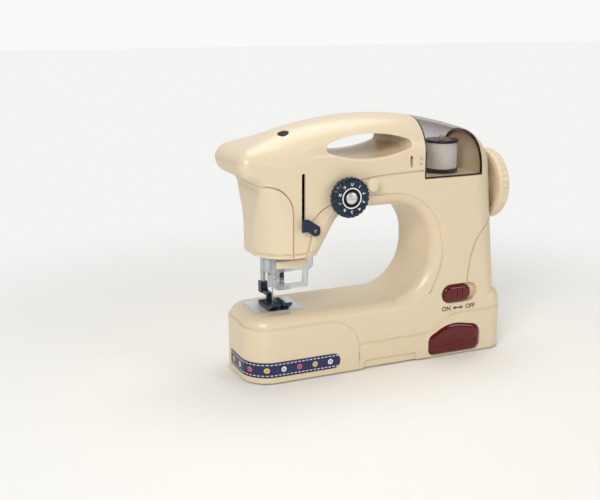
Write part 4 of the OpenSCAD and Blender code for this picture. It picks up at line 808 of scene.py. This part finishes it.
# %% Front shell, rear shell and face cover
SCREWS = [(-20, 157.5), (24, 150), (58, 105), (-86, 20), (20, 38)]
BOSS_R, SINK_R, THREAD_WAY_R = 4.4, 2.75, 1.25
SWITCH = (70.5, 52.8, 33.0, 15.4)
DRAWER = [(42.3, 2.6, 5.5), (91, 2.6, 5.5), (91, 23.5, 9), (62, 29, 30), (42.3, 18.3, 7)]
NOTCH = [(-17, -1, 0.5), (31, -1, 0.5), (31, 8, 3), (-17, 8, 3)]
LID_X, SEAM = (34, 88), 0.15
HINGE, HINGE_R, LUG_W, LUG_LOW = (0, 33.55, 150.55), 1.2, 4, 145.55
LEVER_X, LEVER_Z = -68.6, 117.0
DIAL = np.array([-33.3, 0.0, 141.0])
SKIN_ANGLE = 13


def grown(corners, by):
    """A rounded outline moved outwards by a distance."""
    rows = outline_rows(corners, 4.0)
    return rows[:, :2] + rows[:, 2:4] * by


def cover_prism(by):
    """The face cover's side view, grown or shrunk by a seam and carried through the depth."""
    return prism_y("cover", outline(cover_corners(by), turn_step=3.0), -FAR, FAR)


def lid_box(name, gap=0.0):
    """The room of the lid, with a gap left at its sides and below."""
    return block(name, (LID_X[0] + gap, -FAR, LID_Z + gap), (LID_X[1] - gap, FAR, FAR))


def switch_slot(by, steps=16):
    """The switch pocket's slot, grown by a distance."""
    u, v, w, h = SWITCH
    return slot_outline(u, v, w + 2 * by, h + 2 * by, steps)


def pocket_rim(name):
    """The switch pocket, with a small round at its mouth."""
    depth = np.array([-9, -0.001, 0.12, 0.4, 0.8, 3.6])
    grow = np.array([0.8, 0.8, 0.42, 0.12, 0, 0])
    return loft(name, [at_depth(switch_slot(g, 20), y) for y, g in zip(depth - HALF_D, grow)])


front = copy_of(casing, "casing_front")
carve(front,
      keep(block("front_half", (-FAR, -FAR, -1), (FAR, 0, FAR))),
      cut(cover_prism(SEAM)),
      cut(lid_box("lid_way")),
      join(prism_y("pocket", switch_slot(WALL), -HALF_D + 1.1, -HALF_D + 5.1)),
      cut(pocket_rim("pocket_way")),
      cut(prism_y("knob_way", slot_outline(*SWITCH[:2], 14, 4.7), -HALF_D, -HALF_D + 7.3)),
      cut(prism_y("lever_way", slot_outline(LEVER_X, 138.25, 3, 44.5), -33, -HALF_D + 3.2)),
      cut(rod("stud_way", "y", -33, -22, DIAL, 2.05)),
      cut(prism_y("drawer_way", grown(DRAWER, 0.35), -34, -29)),
      cut(prism_y("clip_way", slot_outline(22, 163.6, 2.4, 9), -33, -HALF_D + 3.2)),
      *[cut(rod("dot", "y", -33, -28.8, (30, 0, z), 0.65, 20)) for z in (161.6, 165.6)],
      cut(prism_y("notch", outline(NOTCH), -33.9, -31.3)))
install(front, "casing", "cream", ["front_shell"], SKIN_ANGLE)

steps = [keep(block("rear_half", (-FAR, 0, -1), (FAR, FAR, FAR))),
         cut(cover_prism(SEAM)),
         cut(lid_box("lid_way"))]
for k, (x, z) in enumerate(SCREWS):
    steps += [join(rod(f"boss{k}", "y", 0, 30.9, (x, 0, z), BOSS_R)),
              cut(rod(f"sink{k}", "y", 28.2, 35, (x, 0, z), SINK_R)),
              cut(rod(f"way{k}", "y", -1, 31, (x, 0, z), THREAD_WAY_R))]
for k, x in enumerate((42, 70)):
    steps += [join(rod(f"lug{k}", "x", x, x + LUG_W, HINGE, HINGE_R)),
              join(block(f"lug_up{k}", (x, 32.35, LUG_LOW), (x + LUG_W, 34.75, HINGE[2]))),
              join(block(f"lug_in{k}", (x, 30.9, LUG_LOW), (x + LUG_W, HINGE[1], 148.65)))]
steps += [cut(rod("hinge_way", "x", 41, 75, HINGE, 0.7, 24)),
          cut(rod("jack_way", "y", 29, 34, (80, 0, 20), 4.65))]
rear = carve(copy_of(casing, "casing_rear"), *steps)
install(rear, "casing", "cream", ["rear_shell"], SKIN_ANGLE)

casing.name = "casing_face"
carve(casing, keep(cover_prism(-SEAM)))
install(casing, "casing", "cream", ["face_cover"], SKIN_ANGLE)

# %% [markdown]
# The lid over the thread is a slice of the same roll, pressed in clear brown plastic. Its cut edges are a rim
# of its own, painted near black. That is partly the dark of looking through the sheet lengthwise, and partly
# painted shade that stands for the shadow in the seam round the lid. The lid turns on a barrel hinge behind the
# casing: a knuckle on the lid between two lugs, with a pin through all three.

# %% Smoked lid with its knuckle
LID_GAP, PANE_GAP, LID_ANGLE = 0.35, 1.15, 20
KNUCKLE_X, HINGE_PIN_X = (46.35, 69.65), (43.35, 72.65)
lid = carve(body_solid("thread_lid", 0, 12, None),
            cut(body_solid("lid_hollow", -WALL, 12, None)),
            keep(lid_box("lid_slice", LID_GAP)))
rim = carve(copy_of(lid, "lid_rim"), cut(lid_box("pane", PANE_GAP)))
# The rim takes the near-black material: painted seam shade round the lid.
install(rim, "lid", "smoked", angle=LID_ANGLE, material=LID_RIM_SHADE)
carve(lid, keep(lid_box("pane", PANE_GAP)),
      join(rod("knuckle", "x", *KNUCKLE_X, HINGE, HINGE_R)),
      join(block("knuckle_web", (KNUCKLE_X[0], 30.9, 149.35), (KNUCKLE_X[1], HINGE[1], 151.75))),
      join(rod("hinge_pin", "x", *HINGE_PIN_X, HINGE, 0.65, 24)))
install(lid, "lid", "smoked", ["spool_lid"], LID_ANGLE)

# %% [markdown]
# Thread on a spool is one long line, laid turn beside turn. The outer layer is a helix of close turns whose
# radius and height waver a little, as a winder lays it; under it lies a core with a rib for each turn.

# %% Thread winding
SPOOL = np.array([65.0, -5.0])
SPOOL_LOW, SPOOL_HIGH, BARREL_R, CORE_R, THREAD_R = 152.35, 173.35, 9.02, 12.0, 0.27
TURNS, RIB_PITCH, THREAD_ANGLE = 36, 0.583, 60


def winding(name, radius, turns, lead, sides=8, per_turn=56):
    """Helix: angle grows with the turn count, height with the pitch; slow sines waver height and radius."""
    t = np.linspace(0, turns, turns * per_turn + 1)
    waver = 0.06 * np.sin(1.7 * t + lead) + 0.04 * np.sin(4.3 * t)
    z = SPOOL_LOW + THREAD_R + 0.05 + (SPOOL_HIGH - SPOOL_LOW - 2 * THREAD_R - 0.1) * t / turns
    angle = 2 * np.pi * t + lead
    r = radius + 0.5 * waver
    path = np.column_stack([SPOOL[0] + r * np.cos(angle), SPOOL[1] + r * np.sin(angle),
                            np.clip(z + waver, SPOOL_LOW + THREAD_R, SPOOL_HIGH - THREAD_R)])
    return sweep(name, path, THREAD_R, sides, (0, 0, 1))


turns_out = winding("thread_turns", CORE_R + 0.42, TURNS, 0.0)
install(turns_out, "spool", "thread", ["thread_winding"], THREAD_ANGLE)
rib = np.linspace(SPOOL_LOW, SPOOL_HIGH, 84)
skirt = np.column_stack([rib, CORE_R + 0.1 * np.sin(2 * np.pi * (rib - SPOOL_LOW) / RIB_PITCH)])
core = np.vstack([[[SPOOL_LOW, BARREL_R]], skirt, [[SPOOL_HIGH, BARREL_R]]])
under = ring_solid("thread_under", core, "z", (*SPOOL, 0))
install(under, "spool", "thread", ["thread_core"], THREAD_ANGLE)

# %% [markdown]
# The handwheel and the tension dial are turned shapes. Their grip is a ripple on the outer radius: a cosine
# raised to a power gives narrow grooves between broad lands.

# %% Handwheel
WHEEL_X, WHEEL_W, WHEEL_R = 106.62, 10.4, 29.0
GRIP_ANGLE = 32
WHEEL = [(0, 2.55, 0.3), (WHEEL_W, 2.55, 0.3), (WHEEL_W, 9, 1), (WHEEL_W - 2, 11, 1),
         (WHEEL_W - 2.2, 21.8, 1.2), (WHEEL_W, 23.4, 0.9), (WHEEL_W, WHEEL_R, 2.4), (1.2, WHEEL_R, 2.4),
         (1.2, 23, 1), (3.8, 22, 1), (3.8, 9.5, 1), (0, 9, 0.6)]


def wheel_grip(t, r, a):
    """Thirty-six grooves, cut where the rim is outermost."""
    depth = 0.75 * np.clip((r - 26.4) / 2.6, 0, 1) * np.clip(1 - np.abs(t - 6) / 4.6, 0, 1) ** 0.5
    return r - depth * np.maximum(np.cos(36 * a), 0) ** 6


wheel = ring_solid("wheel", outline(WHEEL, 1.2, 12.0), "x", (WHEEL_X, 0, SHAFT_Z), 432, wheel_grip)
install(wheel, "upper_drive", "cream", ["handwheel"], GRIP_ANGLE)

# %% [markdown]
# The dial carries its numerals as raised print: text from the built-in typeface, turned so that each stands
# on its own radius. A printed ring, a black collar and a slotted screw head fill its middle.

# %% Tension dial with its numerals
DIAL_BACK, DIAL_FRONT, DIAL_R = -34.3, -41.1, 15.4
NUMERAL, NUMERAL_R, NUMERALS = 4.3, 10.6, 10
DIAL_SHAPE = [(DIAL_BACK, 2.1, 0.02), (DIAL_BACK, DIAL_R - 0.6, 0.8), (DIAL_BACK - 1.2, DIAL_R, 0.6),
              (DIAL_FRONT + 1.6, DIAL_R - 0.2, 1.2), (DIAL_FRONT + 0.1, DIAL_R - 2.4, 1.0),
              (DIAL_FRONT + 0.5, 7.4, 0.5), (DIAL_FRONT + 1.5, 6.8, 0.3), (DIAL_FRONT + 1.5, 2.1, 0.02)]
RING = [[0.7, 7.0], [0.28, 7.1], [0.28, 7.9], [0.7, 8.0]]
COLLAR = [[1.6, 4.7], [1.6, 6.5], [0.2, 6.5], [-0.1, 6.2], [-0.1, 5.3], [0.6, 4.7]]
SCREW = [[1.6, 0.01], [1.6, 4.6], [0.5, 4.6], [0.1, 4.2], [-0.3, 2.8], [-0.4, 0.01]]


def dial_grip(t, r, a):
    """Twenty-four thumb grooves round the rim, at any depth t."""
    return r - 0.85 * np.clip((r - 13.2) / 1.6, 0, 1) * np.maximum(np.cos(24 * a), 0) ** 3


def behind_front(rows):
    """Profile rows (depth behind the dial's front, radius) as (y, radius)."""
    return np.array(rows) + [DIAL_FRONT, 0]


def words(name, text, size, bold=0.0, deep=0.12):
    """Text as points (across, up, depth) in millimetres and its faces, taken from the built-in typeface."""
    curve = bpy.data.curves.new(name, "FONT")
    curve.body, curve.size, curve.align_x, curve.align_y = text, size, "CENTER", "CENTER"
    curve.extrude = deep / 2
    curve.offset = bold * size
    made = bpy.data.objects.new(name, curve)
    scene.collection.objects.link(made)
    mesh = bpy.data.meshes.new_from_object(made.evaluated_get(bpy.context.evaluated_depsgraph_get()))
    points, faces = points_of(mesh), [list(f.vertices) for f in mesh.polygons]
    bpy.data.objects.remove(made)
    bpy.data.meshes.remove(mesh)
    return points, faces


def marks(name, rows, bold=0.0):
    """Several texts in one mesh. Each row: text, size, x, z, turn, y of the face that it lies on."""
    points, faces, start = [], [], 0
    for text, size, x, z, turn, y in rows:
        p, f = words(name, text, size, bold)
        c, k = math.cos(turn), math.sin(turn)
        points.append(np.column_stack([x + c * p[:, 0] - k * p[:, 1], y - p[:, 2],
                                       z + k * p[:, 0] + c * p[:, 1]]))
        faces += [[v + start for v in q] for q in f]
        start += len(p)
    return outward(new_mesh(name, np.vstack(points), faces))


knob = ring_solid("dial", outline(DIAL_SHAPE[::-1], 1.0, 12.0), "y", DIAL, 384, dial_grip)
install(knob, "dial", "navy", ["tension_dial"], GRIP_ANGLE)
turns = np.pi / 2 - 2 * np.pi * np.arange(NUMERALS) / NUMERALS
numerals = [(str(k), NUMERAL, DIAL[0] + NUMERAL_R * math.cos(t), DIAL[2] + NUMERAL_R * math.sin(t),
             t - math.pi / 2, DIAL_FRONT + 0.26) for k, t in enumerate(turns)]
install(marks("dial_numerals", numerals), "dial", "navy", material=INK_WHITE)
ring = ring_solid("dial_ring", behind_front(RING), "y", DIAL)
install(ring, "dial", "navy", material=INK_WHITE)
collar = ring_solid("dial_collar", behind_front(COLLAR), "y", DIAL)
install(collar, "dial", "bright", material=FINISH["black"])
screw = revolve("dial_screw", behind_front(SCREW), "y", DIAL, 72)
carve(screw, cut(block("slot", (DIAL[0] - 5, -42, 140.3), (DIAL[0] + 5, DIAL_FRONT + 0.4, 141.7))))
install(screw, "dial", "bright", ["dial_cap"])

# %% [markdown]
# The switch knob is a pillow with three ribs for the thumb; the drawer's front has a rolled edge and a finger
# groove. Both are lofts of one outline that shrinks while it comes forward.

# %% Switch knob and drawer front
KNOB_X, KNOB_Z = 67.5, 52.8
GLOSS_ANGLE = 28


def pillow(name, rows, back, front, edge, steps=8):
    """Outline rows rolled forward: inset = edge(1-sin a), drop = edge(1-cos a) scaled to the height."""
    high = min(edge, back - front)
    rings = [at_depth(rows[:, :2], back)]
    for a in np.linspace(np.pi / 2, 0, steps + 1):
        shrunk = rows[:, :2] - rows[:, 2:4] * edge * (1 - math.sin(a))
        rings.append(at_depth(shrunk, front + high * (1 - math.cos(a))))
    return loft(name, rings)


def thumb_rib(name, x):
    """One rib on the knob's face."""
    corners = box_corners(x - 0.9, KNOB_Z - 3.6, x + 0.9, KNOB_Z + 4.6, 0.8)
    return pillow(name, outline_rows(corners, 0.6), -33.4, -35.0, 0.7)


knob_corners = box_corners(KNOB_X - 13, KNOB_Z - 7.35, KNOB_X + 13, KNOB_Z + 7.35, 7.3)
thumb = pillow("switch_thumb", outline_rows(knob_corners, 1.5), -28.8, -34.2, 3.2)
carve(thumb, *[join(thumb_rib(f"rib{k}", KNOB_X + x)) for k, x in enumerate((-5, 0, 5))],
      join(block("knob_stem", (KNOB_X - 3, -29.2, KNOB_Z - 2), (KNOB_X + 3, -27.25, KNOB_Z + 2))))
install(thumb, "switch", "red", ["switch_knob"], GLOSS_ANGLE)

drawer = pillow("drawer_face", outline_rows(DRAWER, 1.5), -30.5, -33.1, 5.0)
carve(drawer, cut(sweep("pull", [(x, -33.3, 11.2) for x in np.linspace(45.5, 88, 30)], 1.1, 16)))
install(drawer, "drawer", "red", ["drawer_front"], GLOSS_ANGLE)

# %% [markdown]
# The strip along the base is a printed film. It carries only a stitch pattern: two dashed lines and a row of
# button dots. The pattern is drawn by the material from the strip's own length and height.

# %% Printed strip
STRIP_END, STRIP_Z, STRIP_HALF, STRIP_R, ACROSS = -38.0, 12, 6, 5.8, 9
STRIP_OUT, STRIP_T = 1.56, 0.34
near = PLAN[(PLAN[:, 1] < 12) & (PLAN[:, 0] < STRIP_END + 2)]
round_corner = -45 + 60 * (-near[:, 1] - 22) / 20
left_end = np.where(near[:, 0] < -110.9, -90 - near[:, 1], round_corner)
near = near[np.argsort(np.where(near[:, 1] < -32, near[:, 0] + 91, left_end))]
at = run_along(near[:, :2])
end_at = np.interp(STRIP_END, near[-12:, 0], at[-12:])
u = np.unique(np.concatenate([np.linspace(0, end_at - 6, 90),
                              end_at - STRIP_R * (1 - np.sin(np.linspace(0, np.pi / 2, 14)))]))
tip = np.sqrt(np.maximum(STRIP_R ** 2 - (u - end_at + STRIP_R) ** 2, 0.01)) / STRIP_R * STRIP_HALF
half = np.where(u > end_at - STRIP_R, tip, STRIP_HALF)
v = np.linspace(-1, 1, ACROSS)
px = np.stack([np.interp(u, at, near[:, k] + STRIP_OUT * near[:, k + 2]) for k in (0, 1)], axis=1)
pn = np.stack([np.interp(u, at, near[:, k + 2]) for k in (0, 1)], axis=1)
sheet = np.concatenate([np.broadcast_to(px[:, None], (len(u), ACROSS, 2)),
                        (STRIP_Z + half[:, None] * v[None, :])[:, :, None]], axis=2)
behind = sheet.copy()
behind[:, :, :2] -= STRIP_T * pn[:, None]
ring_rows = np.concatenate([sheet, behind[:, ::-1]], axis=1)
strip = loft("label_film", ring_rows)

# Each point's place on the print, in millimetres along and up, goes into the mesh as its own map.
lengths = np.repeat(u[:, None], ACROSS, 1)
print_at = np.concatenate([np.stack([lengths, half[:, None] * w], -1) for w in (v, v[::-1])], axis=1)
loops = np.empty(len(strip.data.loops), int)
strip.data.loops.foreach_get("vertex_index", loops)
co = points_of(strip.data) / MM - SHIFT
match = np.argmin(((co[:, None] - ring_rows.reshape(-1, 3)[None]) ** 2).sum(2), axis=1)
layer = strip.data.uv_layers.new(name="print")
layer.data.foreach_set("uv", print_at.reshape(-1, 2)[match][loops].astype(np.float32).ravel())

DASH, DASH_SHARE, RAIL_UP, RAIL_HALF = 3.2, 0.62, 4.3, 0.3
BUTTONS, BUTTON_R, HOLE_R, HOLE_HALF = 13, 2.1, 0.9, 0.25
STRIP_BLUE, STITCH_WHITE = srgb("#1B2450"), srgb("#E9ECF2")
film, tree, shader, coords = start_material("strip_print")
place = add(tree, "SeparateXYZ", Vector=coords["UV"]).outputs
along, up = place["X"], place["Y"]
m = partial(math_node, tree)
dash = m("LESS_THAN", m("FRACT", m("MULTIPLY", along, 1 / DASH)), DASH_SHARE)
rail = m("LESS_THAN", m("ABSOLUTE", m("SUBTRACT", m("ABSOLUTE", up), RAIL_UP)), RAIL_HALF)
stitch = m("MULTIPLY", dash, rail)
cell = m("MULTIPLY", along, 1 / BUTTONS)
wide = m("MULTIPLY", m("SUBTRACT", m("FRACT", cell), 0.5), BUTTONS)
spread = m("SQRT", m("ADD", m("MULTIPLY", wide, wide), m("MULTIPLY", up, up)))
button = m("LESS_THAN", spread, BUTTON_R)
hole = m("LESS_THAN", m("ABSOLUTE", m("SUBTRACT", spread, HOLE_R)), HOLE_HALF)
tones = add(tree, "ValToRGB")
ramp = tones.color_ramp
ramp.interpolation = "CONSTANT"
ramp.elements[0].color = srgb("#F0D26A")
ramp.elements[1].position, ramp.elements[1].color = 0.36, srgb("#EDEDEA")
ramp.elements.new(0.7).color = srgb("#E0557A")
put(tones, 0, m("FRACT", m("MULTIPLY", m("FLOOR", cell), 0.37)))


def over_layer(under_colour, mask, colour):
    """Lays a colour over another where the mask is 1."""
    made = add(tree, "Mix")
    made.data_type = "RGBA"
    for k, value in ((0, mask), (6, under_colour), (7, colour)):
        put(made, k, value)
    return made.outputs[2]


inked = over_layer(STRIP_BLUE, stitch, STITCH_WHITE)
inked = over_layer(inked, button, tones.outputs[0])
inked = over_layer(inked, hole, STRIP_BLUE)
feed(shader, Base_Color=inked, Roughness=0.3)
install(strip, "casing", "strip_blue", ["label_strip"], material=film)

# %% [markdown]
# The switch is lettered with its two states and an arrow between them, printed just proud of the casing.

# %% Switch words and arrow
WORDS_Y, WORDS_Z, LETTER, BOLD = -32.24, 40.6, 5.2, 0.02
ARROW = [[64.2, 0], [66.8, -1.5], [66.8, -0.5], [71.6, -0.5], [71.6, -1.5], [74.2, 0], [71.6, 1.5],
         [71.6, 0.5], [66.8, 0.5], [66.8, 1.5]]
states = [(text, LETTER, x, WORDS_Z, 0, WORDS_Y) for text, x in (("ON", 58.2), ("OFF", 81))]
install(marks("switch_words", states, BOLD), "casing", "black", material=INK_BLACK)
arrow = prism_y("switch_arrow", np.array(ARROW) + [0, WORDS_Z], -32.3, -32.1)
install(arrow, "casing", "black", material=INK_BLACK)

# %% [markdown]
# Three small fittings guide the thread. The lever's flag is a pillow on a stem, with an eye for the thread;
# the pin's top is cut by the casing's own roll, so that it follows the skin; the post is a turned mushroom.

# %% Take-up lever, thread pin and guide post
FLAG = [(-2.2, 0.6, 0.8), (1.6, 0.6, 1.5), (7.0, -3.4, 2.0), (11.5, -2.6, 2.2), (11.5, 3.6, 2.2),
        (2.2, 9.9, 1.5), (-2.2, 9.9, 1.2)]
POST = [[-32, 0.01], [-32, 3.6], [-36.2, 3.4], [-36.6, 4.2], [-37, 4.9], [-37.8, 5.0], [-38.5, 4.5],
        [-38.85, 3.2], [-38.9, 0.01]]
flag_rows = outline_rows([(LEVER_X + u, LEVER_Z + v, r) for u, v, r in FLAG], 1.0)
flag = pillow("lever_flag", flag_rows, -35.0, -36.95, 0.5)
carve(flag,
      join(block("stem", (LEVER_X - 1.1, -35.4, LEVER_Z + 0.7), (LEVER_X + 1.1, -25.7, LEVER_Z + 7.9))),
      join(block("carriage", (LEVER_X - 3.5, -29.3, LEVER_Z + 0.1), (LEVER_X + 3.5, -20.5, LEVER_Z + 9.9))),
      cut(rod("rail_way", "z", LEVER_Z - 1, LEVER_Z + 11, (LEVER_X, -24, 0), 1.7)),
      cut(rod("thread_eye", "y", -38, -34, (LEVER_X + 7.8, 0, LEVER_Z + 0.7), 1.5)))
install(flag, "takeup", "navy", ["takeup_lever"])
pin = carve(rod("thread_pin", "z", 156.9, 200, PIN, 4.0), keep(body_solid("pin_skin", -0.3)))
install(pin, "pin", "black", ["spool_pin"])
post = revolve("post_mushroom", POST, "y", (-14, 0, 149), 64)
install(post, "casing", "cream", ["guide_post"], 24)
